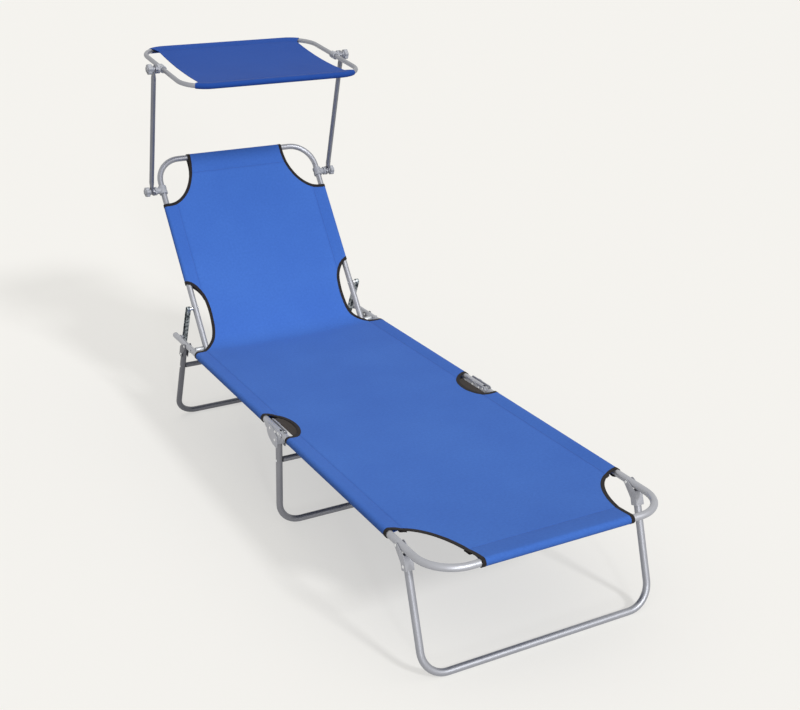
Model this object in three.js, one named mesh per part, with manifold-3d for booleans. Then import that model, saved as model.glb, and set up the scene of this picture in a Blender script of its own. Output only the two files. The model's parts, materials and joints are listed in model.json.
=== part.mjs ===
// Folding sun lounger with a tilting sun canopy.
// Millimetres. X runs across, +Y points to the head end, +Z is up and the floor is at z = 0.
// Lengths along the lounger start at the foot bar's axis. The last lines centre the whole on the floor.

import * as THREE from 'three';
import { mergeVertices } from 'three/addons/utils/BufferGeometryUtils.js';
import Module from 'manifold-3d';

const wasm = await Module();
wasm.setup();

const { degToRad } = THREE.MathUtils;

// The whole: half widths are to the tubes' axes
const frameHalfWidth = 279;
const seatAxisHeight = 263;
const jointAlong = 694;
const hipAlong = 1329;
const seatTubeBeyondHip = 141;
const backInset = 40;
const backLength = 562;
const backTail = 10;
const reclineAngle = degToRad(53.7);
const seatTubeEnd = hipAlong + seatTubeBeyondHip;
const backHalfWidth = frameHalfWidth - backInset;

// Steel tube
const tubeRadius = 8;
const tubeWall = 1;
const footBendRadius = 81;
const backBendRadius = 68;
const canopyBendRadius = 70;
const legBendRadius = 55;
const crossbarRadius = 7;
const crossbarDrop = 78;
const canopyTubeRadius = 6;

// How finely round shapes are drawn
const tubeSides = 12;
const boreSides = 8;
const pinSides = 8;
const bendSteps = 5;

// Fits
const gap = 0.3;
const clothFit = 0.4;
const overrun = 4;
const weld = 1e-4;

// Pins, rivets and bolts
const pinRadius = 2;
const rivetHeadRadius = 3.6;
const rivetHeadHeight = 1.6;
const boltRadius = 3;
const boltHeadRadius = 5.5;
const boltHeadHeight = 2.4;
const spacerRadius = 7;

// Fold between the foot section and the seat section
const foldPinSetback = 17.5;
const foldPinRise = 3.5;
const foldSlotBeyondPin = 11;
const tongue = { thickness: 4.8, endRadius: 4.5, plugRadius: 6.1, plugLength: 34, drop: 3.8, slotFit: 0.5 };
const hingePlate = { thickness: 1.5, halfHeight: 9, start: 5, end: 84, rivetSetback: 37 };

// Legs: offset is from the pivot to the leg's axis, lean is away from the side it folds to,
// drops are below the frame tube's axis
const yoke = { thickness: 1.5, earRadius: 7, openEdge: 9 };
const legPivot = { beyondFootBar: 135, beyondJoint: 63, beyondHip: 41 };
const legs = {
  foot: { pivotAlong: legPivot.beyondFootBar, offset: 19, lean: degToRad(17), turn: 0, socketDrop: 42, shoulderDrop: 27 },
  mid: { pivotAlong: jointAlong + legPivot.beyondJoint, offset: 26, lean: degToRad(-4.7), turn: 0, socketDrop: 30, shoulderDrop: 24 },
  rear: {
    pivotAlong: hipAlong + legPivot.beyondHip,
    offset: 19,
    lean: degToRad(25),
    turn: Math.PI,
    socketDrop: 42,
    shoulderDrop: 27,
  },
};

// Cloth
const clothThickness = 1.2;
const clothSag = 8;
const sagRun = 260;
const sheetRise = 3.5;
const sideSeamInset = 27;
const barSeamInset = 45;
const seamTaper = 3.6;
const acrossSteps = 8;
const alongSteps = 6;
const foldClothGap = 4;
const hipClothGapSeat = 7;
const hipClothGapBack = 4;
const cutSides = 28;
const footCut = { across: 100, along: 180 };
const headCut = { across: 96, along: 138 };
const jointCut = { beyondJoint: 48, across: 43, along: 76 };
const hipSeatCut = { outside: 12, beyondHip: 11, across: 70, along: 52 };
const hipBackCut = { outside: 8, middle: 95, across: 48, along: 98 };
const guard = { innerInset: 55, outerInset: 17, shoulderInset: 31, halfLong: 86, halfShort: 54 };

// Recline struts: reach is from the hip to the strut's pivot on the back and to its keeper on the seat
const strut = {
  reach: 118,
  outsideBack: 20.5,
  depth: 5,
  sheet: 1.6,
  width: 15,
  length: 152,
  holeRadius: 3,
  holePitch: 15,
  holeStart: 30,
  holeCount: 7,
  collarRadius: 5,
};
const keeper = { sheet: 1.5, height: 9, length: 18, bossRadius: 5.2, bossGap: 0.8 };

// Canopy: depth runs along its tilted plane
const hubBelowHeadBar = 89;
const poleLength = 366.7;
const poleLean = degToRad(107.95);
const canopyOutsideBack = 11;
const canopyHalfDepth = 190;
const canopyTilt = degToRad(7.5);
const canopySeam = 0.5;
const canopySag = 5;
const canopyRise = 2;
const canopySeamInset = 26;
const canopyClothInset = 37;
const canopyClothDraw = 12;
const pole = { outsideCanopy: 22, radius: 6.5, wall: 1, flat: 5, flatLength: 24, flatWidth: 17, slit: 1 };
const disc = { radius: 12, valley: 10.8, teeth: 10, depth: 6 };
const clamp = { wall: 3.5, length: 24, bossRadius: 9, boltTip: 1.5 };
const knob = { radius: 14, valley: 11.5, lobes: 6, collarRadius: 9, collarDepth: 3.5, depth: 11.5, crown: 3 };

// Rounded plugs in the seat tubes' ends
const plug = { radius: 6.1, length: 18, dome: 5 };

// Finishes
const silver = { color: '#a9adb8', roughness: 0.42, metalness: 0.55 };
const steelGrey = { color: '#77787f', roughness: 0.5, metalness: 0.45 };
const zinc = { color: '#b9bcc2', roughness: 0.35, metalness: 0.8 };
const darkSteel = { color: '#4a5361', roughness: 0.5, metalness: 0.6 };
const blueCloth = { color: '#4167bd', roughness: 0.9, metalness: 0 };
const guardCloth = { color: '#46403d', roughness: 0.95, metalness: 0 };
const greyPlastic = { color: '#8e9097', roughness: 0.5, metalness: 0.1 };
const blackPlastic = { color: '#202124', roughness: 0.6, metalness: 0 };

const sides = [['left', -1], ['right', 1]];
const vec = (x, y, z) => new THREE.Vector3(x, y, z);
const flat = (x, y) => new THREE.Vector2(x, y);

function signedVolume(positions, triangles) {
  const corner = (i) => vec(0, 0, 0).fromArray(positions, 3 * triangles[i]);
  let sum = 0;
  for (let i = 0; i < triangles.length; i += 3) {
    sum += corner(i).dot(corner(i + 1).cross(corner(i + 2)));
  }
  return sum;
}

function solidOf(geometry) {
  geometry.deleteAttribute('normal');
  geometry.deleteAttribute('uv');
  const merged = mergeVertices(geometry, weld);
  const vertProperties = new Float32Array(merged.attributes.position.array);
  const triVerts = new Uint32Array(merged.index.array);
  if (signedVolume(vertProperties, triVerts) < 0) triVerts.reverse();
  return new wasm.Manifold(new wasm.Mesh({ numProp: 3, vertProperties, triVerts }));
}

function geometryOf(solid) {
  const { vertProperties, triVerts } = solid.getMesh();
  const geometry = new THREE.BufferGeometry();
  geometry.setAttribute('position', new THREE.BufferAttribute(new Float32Array(vertProperties), 3));
  geometry.setIndex(new THREE.BufferAttribute(new Uint32Array(triVerts), 1));
  geometry.computeVertexNormals();
  return geometry;
}

function join(solids) {
  return solids.reduce((whole, next) => whole.add(next));
}

function cut(solid, cutters) {
  return cutters.reduce((rest, cutter) => rest.subtract(cutter), solid);
}

function addPiece(group, name, solid, finish) {
  const mesh = new THREE.Mesh(geometryOf(solid), new THREE.MeshStandardMaterial(finish));
  mesh.name = name;
  group.add(mesh);
}

// A run of tube as stations with their directions: one at each end of a straight, several on a bend.
class Route extends THREE.Curve {
  constructor(stations) {
    super();
    this.stations = stations;
  }

  stationAt(share) {
    return this.stations[Math.round(share * (this.stations.length - 1))];
  }

  getPointAt(share, target = vec(0, 0, 0)) {
    return target.copy(this.stationAt(share).point);
  }

  getTangentAt(share, target = vec(0, 0, 0)) {
    return target.copy(this.stationAt(share).direction);
  }
}

function bentRoute(corners, bendRadius) {
  const last = corners.length - 1;
  const direction = (i) => corners[i + 1].clone().sub(corners[i]).normalize();
  const stations = [{ point: corners[0], direction: direction(0) }];
  for (let i = 1; i < last; i += 1) {
    const inward = direction(i - 1);
    const outward = direction(i);
    const turn = inward.angleTo(outward);
    const start = corners[i].clone().addScaledVector(inward, -bendRadius * Math.tan(turn / 2));
    const side = outward.clone().addScaledVector(inward, -inward.dot(outward)).normalize();
    for (let k = 0; k <= bendSteps; k += 1) {
      const angle = (turn * k) / bendSteps;
      stations.push({
        point: start.clone()
          .addScaledVector(inward, bendRadius * Math.sin(angle))
          .addScaledVector(side, bendRadius * (1 - Math.cos(angle))),
        direction: inward.clone().multiplyScalar(Math.cos(angle)).addScaledVector(side, Math.sin(angle)),
      });
    }
  }
  stations.push({ point: corners[last], direction: direction(last - 1) });
  return new Route(stations);
}

function ring(radius, count, turn = 0) {
  const points = [];
  for (let i = 0; i < count; i += 1) {
    const angle = turn + (2 * Math.PI * (i + 0.5)) / count;
    points.push(flat(radius * Math.cos(angle), radius * Math.sin(angle)));
  }
  return points;
}

function arc(middleX, middleY, radius, from, to, steps) {
  const points = [];
  for (let k = 0; k <= steps; k += 1) {
    const angle = from + ((to - from) * k) / steps;
    points.push(flat(middleX + radius * Math.cos(angle), middleY + radius * Math.sin(angle)));
  }
  return points;
}

function anticlockwise(points) {
  return THREE.ShapeUtils.isClockWise(points) ? [...points].reverse() : points;
}

function hollowShape(outline, holes) {
  const shape = new THREE.Shape(anticlockwise(outline));
  holes.forEach((hole) => shape.holes.push(new THREE.Path(anticlockwise(hole))));
  return shape;
}

function sweep(section, extrudePath) {
  return solidOf(new THREE.ExtrudeGeometry(section, { steps: extrudePath.stations.length - 1, extrudePath }));
}

function tubeAlong(corners, bendRadius, radius, turn = 0) {
  const section = hollowShape(ring(radius, tubeSides, turn), [ring(radius - tubeWall, boreSides, turn)]);
  return sweep(section, bentRoute(corners, bendRadius));
}

function slab(outline, holes, depth) {
  return new THREE.ExtrudeGeometry(hollowShape(outline, holes), { depth, bevelEnabled: false });
}

// An outline of (y, z) points, thick along X.
function sheetAcross(outline, holes, fromX, toX) {
  const geometry = slab(outline, holes, Math.abs(toX - fromX));
  geometry.applyMatrix4(new THREE.Matrix4().makeBasis(vec(0, 1, 0), vec(0, 0, 1), vec(1, 0, 0)));
  geometry.translate(Math.min(fromX, toX), 0, 0);
  return solidOf(geometry);
}

// An outline of (x, z) points, long along Y.
function sectionAlong(outline, holes, fromY, toY) {
  const geometry = slab(outline, holes, toY - fromY);
  geometry.rotateX(Math.PI / 2);
  geometry.translate(0, toY, 0);
  return solidOf(geometry);
}

// An outline of (x, y) points, standing up along Z.
function planBlock(outline, fromZ, toZ) {
  const geometry = slab(outline, [], toZ - fromZ);
  geometry.translate(0, 0, fromZ);
  return solidOf(geometry);
}

function boxBetween(low, high) {
  const size = high.clone().sub(low);
  const middle = low.clone().add(high).multiplyScalar(0.5);
  const geometry = new THREE.BoxGeometry(Math.abs(size.x), Math.abs(size.y), Math.abs(size.z));
  geometry.translate(middle.x, middle.y, middle.z);
  return solidOf(geometry);
}

function rodAcross(radius, fromX, toX, along, height, count = pinSides) {
  const geometry = new THREE.CylinderGeometry(radius, radius, Math.abs(toX - fromX), count);
  geometry.rotateZ(Math.PI / 2);
  geometry.translate((fromX + toX) / 2, along, height);
  return solidOf(geometry);
}

function rodAlong(radius, across, fromY, toY, count = tubeSides) {
  const geometry = new THREE.CylinderGeometry(radius, radius, toY - fromY, count);
  geometry.translate(across, (fromY + toY) / 2, 0);
  return solidOf(geometry);
}

// A profile of [radius, x] pairs turned about the line through (along, height) that runs across.
function turnedAcross(profile, along, height, count = pinSides) {
  const geometry = new THREE.LatheGeometry(profile.map(([radius, x]) => flat(radius, x)), count);
  geometry.rotateZ(-Math.PI / 2);
  geometry.translate(0, along, height);
  return solidOf(geometry);
}

function headProfile(x, away, headRadius, headHeight) {
  const crownShare = 0.6;
  const rimShare = 0.45;
  return [
    [headRadius, x],
    [headRadius, x + away * headHeight * rimShare],
    [headRadius * crownShare, x + away * headHeight],
    [0, x + away * headHeight],
  ];
}

// A pin with a head past each end: the faces it holds are at lowX and highX.
function rivetAcross(radius, headRadius, headHeight, lowX, highX, along, height) {
  return turnedAcross([
    ...headProfile(lowX - gap, -1, headRadius, headHeight).reverse(),
    [radius, lowX - gap],
    [radius, highX + gap],
    ...headProfile(highX + gap, 1, headRadius, headHeight),
  ], along, height);
}

function holeAcross(radius, across, along, height) {
  const reach = 2 * tubeRadius + overrun;
  return rodAcross(radius + gap, across - reach, across + reach, along, height);
}

// Places shared by several pieces
const foldPinAlong = jointAlong + foldPinSetback;
const plateRivetAlong = jointAlong + hingePlate.rivetSetback;
const tubeSideReach = tubeRadius + gap;
const plateReach = tubeSideReach + hingePlate.thickness;
const jointCutMiddle = jointAlong + jointCut.beyondJoint;
const strutAcross = backHalfWidth + strut.outsideBack;
const hubAlongBack = backLength - hubBelowHeadBar;
const canopyHalfWidth = backHalfWidth + canopyOutsideBack;
const canopyClothHalf = canopyHalfWidth - canopyClothInset;
const poleAcross = canopyHalfWidth + pole.outsideCanopy;
const poleInner = poleAcross - pole.flat / 2;
const poleOuter = poleAcross + pole.flat / 2;

// Cloth. How far a sheet hangs at a place: nothing at its seams and at a bar, most in its middle.
function hang(sag, x, seamX, fromBar) {
  const across = Math.max(0, 1 - (x / seamX) ** 2);
  const grip = Math.min(1, Math.max(0, fromBar / sagRun));
  return sag * across * Math.sin((grip * Math.PI) / 2);
}

function hangingSheet(lowX, highX, fromY, toY, steps, heightAt) {
  const geometry = new THREE.BoxGeometry(highX - lowX, toY - fromY, clothThickness, steps, alongSteps, 1);
  geometry.translate((lowX + highX) / 2, (fromY + toY) / 2, 0);
  const places = geometry.attributes.position;
  for (let i = 0; i < places.count; i += 1) {
    places.setZ(i, places.getZ(i) + heightAt(places.getX(i), places.getY(i)));
  }
  return solidOf(geometry);
}

// The loop of a sleeve round a tube: its two layers meet at a tip on the inner side.
function loopOutline(radius, middle, outward, tipInset, tipHeight) {
  const spread = Math.PI - Math.acos(radius / tipInset);
  const loop = arc(0, 0, radius, -spread, spread, tubeSides)
    .map((point) => flat(middle + outward * point.x, point.y));
  loop.push(flat(middle - outward * tipInset, tipHeight));
  return loop;
}

function loopOutlines(tube, middle, outward, inset, rise) {
  const inner = tube + clothFit;
  return [
    loopOutline(inner + clothThickness, middle, outward, inset, rise),
    loopOutline(inner, middle, outward, inset - seamTaper, rise),
  ];
}

function sideSleeve(across, sign, fromY, toY) {
  const [outer, inner] = loopOutlines(tubeRadius, sign * across, sign, sideSeamInset, sheetRise);
  return sectionAlong(outer, [inner], fromY, toY);
}

function barSleeve(tube, halfWidth, along, outward, inset, rise) {
  const [outer, inner] = loopOutlines(tube, along, outward, inset, rise);
  return sheetAcross(outer, [inner], -halfWidth, halfWidth);
}

function ellipseBlock(middleX, middleY, across, along) {
  const outline = ring(1, cutSides).map((point) => flat(middleX + across * point.x, middleY + along * point.y));
  return planBlock(outline, -3 * tubeRadius, 3 * tubeRadius);
}

const seatSeam = frameHalfWidth - sideSeamInset;
const backSeam = backHalfWidth - sideSeamInset;
const seamLap = (2 / 3) * seamTaper;
const seatSheetHeight = (x, y) => sheetRise - hang(clothSag, x, seatSeam, y - barSeamInset);
const backSheetHeight = (x, y) => sheetRise - hang(clothSag, x, backSeam, backLength - barSeamInset - y);
const seatHalf = seatSeam + seamLap;
const backHalf = backSeam + seamLap;

function jointCuts() {
  return sides.map(([, sign]) => (
    ellipseBlock(sign * frameHalfWidth, jointCutMiddle, jointCut.across, jointCut.along)
  ));
}

function footCloth() {
  const edge = foldPinAlong - foldClothGap / 2;
  const cloth = join([
    ...sides.map(([, sign]) => sideSleeve(frameHalfWidth, sign, footBendRadius, edge)),
    hangingSheet(-seatHalf, seatHalf, barSeamInset - seamLap, edge, acrossSteps, seatSheetHeight),
    barSleeve(tubeRadius, frameHalfWidth - footBendRadius, 0, -1, barSeamInset, sheetRise),
  ]);
  return cut(cloth, [
    ...jointCuts(),
    ...sides.map(([, sign]) => ellipseBlock(sign * frameHalfWidth, 0, footCut.across, footCut.along)),
  ]);
}

function seatCloth() {
  const start = foldPinAlong + foldClothGap / 2;
  const end = hipAlong - hipClothGapSeat;
  const cloth = join([
    ...sides.map(([, sign]) => sideSleeve(frameHalfWidth, sign, start, end)),
    hangingSheet(-seatHalf, seatHalf, start, end, acrossSteps, seatSheetHeight),
  ]);
  return cut(cloth, [
    ...jointCuts(),
    ...sides.map(([, sign]) => ellipseBlock(
      sign * (frameHalfWidth + hipSeatCut.outside),
      hipAlong + hipSeatCut.beyondHip,
      hipSeatCut.across,
      hipSeatCut.along,
    )),
  ]);
}

function backCloth() {
  const barEdge = backLength - barSeamInset + seamLap;
  const cloth = join([
    ...sides.map(([, sign]) => sideSleeve(backHalfWidth, sign, hipClothGapBack, backLength - backBendRadius)),
    hangingSheet(-backHalf, backHalf, hipClothGapBack, barEdge, acrossSteps, backSheetHeight),
    barSleeve(tubeRadius, backHalfWidth - backBendRadius, backLength, 1, barSeamInset, sheetRise),
  ]);
  return cut(cloth, sides.flatMap(([, sign]) => [
    ellipseBlock(sign * backHalfWidth, backLength, headCut.across, headCut.along),
    ellipseBlock(
      sign * (backHalfWidth + hipBackCut.outside),
      hipBackCut.middle,
      hipBackCut.across,
      hipBackCut.along,
    ),
  ]));
}

// The patch under each cut-out at the fold, with its outer part short enough to miss the sleeves.
function hingeGuard(sign) {
  const drop = clothThickness + clothFit;
  const heightAt = (x, y) => seatSheetHeight(x, y) - drop;
  const steps = 2;
  const inner = sign * (frameHalfWidth - guard.innerInset);
  const shoulder = sign * (frameHalfWidth - guard.shoulderInset);
  const outer = sign * (frameHalfWidth - guard.outerInset);
  const strip = (from, to, half) => hangingSheet(
    Math.min(from, to),
    Math.max(from, to),
    jointCutMiddle - half,
    jointCutMiddle + half,
    steps,
    heightAt,
  );
  return strip(inner, shoulder, guard.halfLong)
    .add(strip(shoulder - sign * clothThickness, outer, guard.halfShort));
}

// A leg stands in its own frame: pivot at the origin, the tube straight down at y = -offset.
function buildLeg(parent, name, leg, wallReach, webDrop) {
  const group = new THREE.Group();
  group.position.set(0, leg.pivotAlong, 0);
  group.rotation.set(-leg.lean * Math.cos(leg.turn), 0, leg.turn);
  parent.add(group);
  const reachAt = (drop, setback) => (drop + setback * Math.sin(leg.lean)) / Math.cos(leg.lean);
  const flatRadius = tubeRadius * Math.cos(Math.PI / tubeSides);
  const nearSide = leg.offset - tubeRadius;
  const farSide = leg.offset + tubeRadius;
  const top = Math.max(reachAt(tubeSideReach, nearSide), reachAt(tubeSideReach, farSide));
  const bottom = reachAt(seatAxisHeight - flatRadius, leg.offset);
  addPiece(group, `${name}_leg`, tubeAlong([
    vec(-frameHalfWidth, -leg.offset, -top),
    vec(-frameHalfWidth, -leg.offset, -bottom),
    vec(frameHalfWidth, -leg.offset, -bottom),
    vec(frameHalfWidth, -leg.offset, -top),
  ], legBendRadius, tubeRadius, leg.lean), steelGrey);

  const webFace = leg.offset + tubeSideReach;
  const back = webFace + yoke.thickness;
  const socket = reachAt(leg.socketDrop, leg.offset);
  const shoulder = reachAt(leg.shoulderDrop, leg.offset);
  const webTop = Math.max(reachAt(webDrop, webFace), reachAt(webDrop, back));
  const openEdge = -leg.offset + yoke.openEdge;
  const ear = [
    flat(-back, -socket),
    flat(openEdge, -socket),
    flat(openEdge, -shoulder),
    ...arc(0, 0, yoke.earRadius, degToRad(-50), degToRad(120), 6),
    flat(-back, -webTop),
  ];
  const wallOuter = wallReach + yoke.thickness;
  sides.forEach(([side, sign]) => {
    const x = sign * Math.cos(leg.turn) * frameHalfWidth;
    const channel = join([
      boxBetween(vec(x - wallOuter, -back, -socket), vec(x + wallOuter, -webFace, -webTop)),
      sheetAcross(ear, [], x - wallOuter, x - wallReach),
      sheetAcross(ear, [], x + wallReach, x + wallOuter),
    ]);
    addPiece(group, `${name}_leg_yoke_${side}`, cut(channel, [holeAcross(pinRadius, x, 0, 0)]), silver);
    addPiece(group, `${name}_leg_pivot_${side}`, rivetAcross(
      pinRadius,
      rivetHeadRadius,
      rivetHeadHeight,
      x - wallOuter,
      x + wallOuter,
      0,
      0,
    ), zinc);
  });
  return { group, reachAt };
}

function addCrossbar(name, leg, { group, reachAt }) {
  const half = frameHalfWidth - tubeSideReach;
  const reach = reachAt(crossbarDrop, leg.offset);
  const ends = [vec(-half, -leg.offset, -reach), vec(half, -leg.offset, -reach)];
  addPiece(group, `${name}_leg_crossbar`, tubeAlong(ends, 0, crossbarRadius, leg.lean), steelGrey);
}

// Foot section: a bent tube with a flat tongue plugged into each end
function buildFootSection(parent) {
  const group = new THREE.Group();
  parent.add(group);
  const bar = tubeAlong([
    vec(-frameHalfWidth, jointAlong, 0),
    vec(-frameHalfWidth, 0, 0),
    vec(frameHalfWidth, 0, 0),
    vec(frameHalfWidth, jointAlong, 0),
  ], footBendRadius, tubeRadius);
  const pivotHoles = sides.map(([, sign]) => (
    holeAcross(pinRadius, sign * frameHalfWidth, legs.foot.pivotAlong, 0)
  ));
  addPiece(group, 'foot_frame', cut(bar, pivotHoles), silver);
  sides.forEach(([side, sign]) => {
    const x = sign * frameHalfWidth;
    const outline = [
      ...arc(foldPinAlong, foldPinRise, tongue.endRadius, -Math.PI / 2, Math.PI / 2, 6),
      flat(jointAlong, foldPinRise),
      flat(jointAlong - tongue.plugRadius, foldPinRise),
      flat(jointAlong - tongue.plugRadius, -tongue.drop),
      flat(jointAlong, -tongue.drop),
    ];
    const blade = sheetAcross(outline, [], x - tongue.thickness / 2, x + tongue.thickness / 2);
    const stem = rodAlong(tongue.plugRadius, x, jointAlong - tongue.plugLength, jointAlong - tubeWall);
    const pinHole = holeAcross(pinRadius, x, foldPinAlong, foldPinRise);
    addPiece(group, `foot_hinge_tongue_${side}`, cut(blade.add(stem), [pinHole]), zinc);
  });
  addPiece(group, 'sling_foot', footCloth(), blueCloth);
  buildLeg(group, 'foot', legs.foot, tubeSideReach, tubeSideReach);
}

// Seat section: the two side tubes, the fold's plates and the cloth between them
function buildSeatSection(parent) {
  sides.forEach(([side, sign]) => {
    const x = sign * frameHalfWidth;
    const tube = tubeAlong([vec(x, jointAlong + gap, 0), vec(x, seatTubeEnd, 0)], 0, tubeRadius);
    const slotHalf = tongue.thickness / 2 + tongue.slotFit;
    addPiece(parent, `seat_tube_${side}`, cut(tube, [
      boxBetween(
        vec(x - slotHalf, jointAlong - overrun, 0),
        vec(x + slotHalf, foldPinAlong + foldSlotBeyondPin, tubeRadius + overrun),
      ),
      holeAcross(pinRadius, x, foldPinAlong, foldPinRise),
      holeAcross(pinRadius, x, plateRivetAlong, 0),
      holeAcross(pinRadius, x, legs.mid.pivotAlong, 0),
      holeAcross(boltRadius, x, hipAlong, 0),
      holeAcross(pinRadius, x, legs.rear.pivotAlong, 0),
    ]), silver);

    const dome = new THREE.LatheGeometry([
      flat(0, seatTubeEnd - plug.length),
      flat(plug.radius, seatTubeEnd - plug.length),
      flat(plug.radius, seatTubeEnd + gap),
      flat(tubeRadius, seatTubeEnd + gap),
      ...arc(0, seatTubeEnd + gap, 1, 0, Math.PI / 2, 4).slice(1, -1).map((point) => flat(
        tubeRadius * point.x,
        seatTubeEnd + gap + plug.dome * (point.y - seatTubeEnd - gap),
      )),
      flat(0, seatTubeEnd + gap + plug.dome),
    ], tubeSides);
    dome.translate(x, 0, 0);
    addPiece(parent, `seat_tube_plug_${side}`, solidOf(dome), blackPlastic);

    const plateStart = jointAlong + hingePlate.start + hingePlate.halfHeight;
    const plateEnd = jointAlong + hingePlate.end - hingePlate.halfHeight;
    const outline = [
      ...arc(plateStart, 0, hingePlate.halfHeight, Math.PI / 2, (3 * Math.PI) / 2, 8),
      ...arc(plateEnd, 0, hingePlate.halfHeight, -Math.PI / 2, Math.PI / 2, 8),
    ];
    [['outer', 1], ['inner', -1]].forEach(([place, outward]) => {
      const near = x + sign * outward * tubeSideReach;
      const far = x + sign * outward * plateReach;
      addPiece(parent, `hinge_plate_${place}_${side}`, cut(sheetAcross(outline, [], near, far), [
        holeAcross(pinRadius, x, foldPinAlong, foldPinRise),
        holeAcross(pinRadius, x, plateRivetAlong, 0),
        holeAcross(pinRadius, x, legs.mid.pivotAlong, 0),
      ]), silver);
    });
    const pinThroughPlates = (along, height) => rivetAcross(
      pinRadius,
      rivetHeadRadius,
      rivetHeadHeight,
      x - plateReach,
      x + plateReach,
      along,
      height,
    );
    addPiece(parent, `foot_fold_pin_${side}`, pinThroughPlates(foldPinAlong, foldPinRise), zinc);
    addPiece(parent, `hinge_plate_rivet_${side}`, pinThroughPlates(plateRivetAlong, 0), zinc);
    addPiece(parent, `hinge_guard_${side}`, hingeGuard(sign), guardCloth);

    const seatInner = sign * (frameHalfWidth - tubeRadius);
    const backOuter = sign * (backHalfWidth + tubeRadius);
    const spacer = rodAcross(spacerRadius, seatInner - sign * gap, backOuter + sign * gap, hipAlong, 0, tubeSides);
    const spacerHole = rodAcross(boltRadius + gap, seatInner, backOuter, hipAlong, 0);
    addPiece(parent, `pivot_spacer_${side}`, cut(spacer, [spacerHole]), zinc);
    const boltEnds = [sign * (backHalfWidth - tubeRadius), sign * (frameHalfWidth + tubeRadius)];
    addPiece(parent, `back_pivot_bolt_${side}`, rivetAcross(
      boltRadius,
      boltHeadRadius,
      boltHeadHeight,
      Math.min(...boltEnds),
      Math.max(...boltEnds),
      hipAlong,
      0,
    ), zinc);

    const keeperAlong = hipAlong + strut.reach;
    const plateNear = x - sign * tubeSideReach;
    const plateFar = plateNear - sign * keeper.sheet;
    const bossEnd = sign * (strutAcross - strut.depth / 2 + strut.sheet + gap + rivetHeadHeight + keeper.bossGap);
    const base = boxBetween(
      vec(plateNear, keeperAlong - keeper.length / 2, -keeper.height / 2),
      vec(plateFar, keeperAlong + keeper.length / 2, keeper.height / 2),
    );
    const boss = rodAcross(keeper.bossRadius, plateNear, bossEnd, keeperAlong, 0);
    addPiece(parent, `strut_keeper_${side}`, base.add(boss), greyPlastic);
  });
  addPiece(parent, 'sling_seat', seatCloth(), blueCloth);
  const mid = buildLeg(parent, 'mid', legs.mid, plateReach + gap, hingePlate.halfHeight + gap);
  addCrossbar('mid', legs.mid, mid);
  const rear = buildLeg(parent, 'rear', legs.rear, tubeSideReach, tubeSideReach);
  addCrossbar('rear', legs.rear, rear);
}

// A clamp round a tube, with a boss that carries the fixed half of a toothed joint
function hubClamp(tube, across, sign, along) {
  const discOuter = sign * (poleInner - disc.depth - gap);
  const discInner = discOuter - sign * disc.depth;
  const outline = discOutline(along);
  const band = rodAlong(tube + gap + clamp.wall, sign * across, along - clamp.length / 2, along + clamp.length / 2);
  const bore = rodAlong(tube + gap, sign * across, along - clamp.length, along + clamp.length);
  const boss = rodAcross(clamp.bossRadius, sign * (across + tube / 2), discInner + sign * gap, along, 0, tubeSides);
  const boltHole = rodAcross(
    boltRadius + gap,
    sign * (across + tube + clamp.boltTip - gap),
    discOuter + sign * overrun,
    along,
    0,
  );
  return cut(join([band, boss, sheetAcross(outline, [], discInner, discOuter)]), [bore, boltHole]);
}

function discOutline(along) {
  return ring(1, 2 * disc.teeth).map((point, i) => {
    const radius = i % 2 ? disc.radius : disc.valley;
    return flat(along + radius * point.x, radius * point.y);
  });
}

// A pole: round tube with a flattened eye and the moving half of a toothed joint at each end
function canopyPole(sign) {
  const discInner = sign * (poleInner - disc.depth);
  const faces = [sign * poleInner, sign * poleOuter];
  const round = [pole.flatWidth, poleLength - pole.flatWidth];
  const eye = (along, inward) => {
    const turn = inward > 0 ? Math.PI : 0;
    const tip = arc(along, 0, pole.flatWidth / 2, turn - Math.PI / 2, turn + Math.PI / 2, 8);
    const root = along + inward * pole.flatLength;
    return [...tip, flat(root, -inward * pole.flatWidth / 2), flat(root, inward * pole.flatWidth / 2)];
  };
  const ends = [[0, 1], [poleLength, -1]];
  const body = join([
    rodAlong(pole.radius, sign * poleAcross, ...round),
    ...ends.map(([along, inward]) => sheetAcross(eye(along, inward), [], ...faces)),
    ...ends.map(([along]) => sheetAcross(discOutline(along), [], discInner, sign * poleInner + sign * gap)),
  ]);
  const boreEnds = [pole.flatLength, poleLength - pole.flatLength];
  const slitReach = pole.flatWidth;
  return cut(body, [
    rodAlong(pole.radius - pole.wall, sign * poleAcross, ...boreEnds, boreSides),
    boxBetween(
      vec(sign * poleAcross - pole.slit / 2, -slitReach, -pole.wall * 2),
      vec(sign * poleAcross + pole.slit / 2, poleLength + slitReach, pole.wall * 2),
    ),
    ...ends.map(([along]) => holeAcross(boltRadius, sign * poleAcross, along, 0)),
  ]);
}

function clampKnob(sign, tipX) {
  const start = sign * (poleOuter + gap);
  const headStart = start + sign * knob.collarDepth;
  const headEnd = headStart + sign * knob.depth;
  const crownShare = 0.75;
  const middle = (knob.radius + knob.valley) / 2;
  const swing = (knob.radius - knob.valley) / 2;
  const outline = ring(1, 4 * knob.lobes).map((point) => {
    const angle = Math.atan2(point.y, point.x);
    const radius = middle + swing * Math.cos(knob.lobes * angle);
    return flat(radius * point.x, radius * point.y);
  });
  return join([
    rodAcross(boltRadius, tipX, headStart, 0, 0),
    rodAcross(knob.collarRadius, start, headStart + sign * gap, 0, 0, tubeSides),
    sheetAcross(outline, [], headStart, headEnd),
    rodAcross(knob.valley * crownShare, headEnd - sign * gap, headEnd + sign * knob.crown, 0, 0, tubeSides),
  ]);
}

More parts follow.
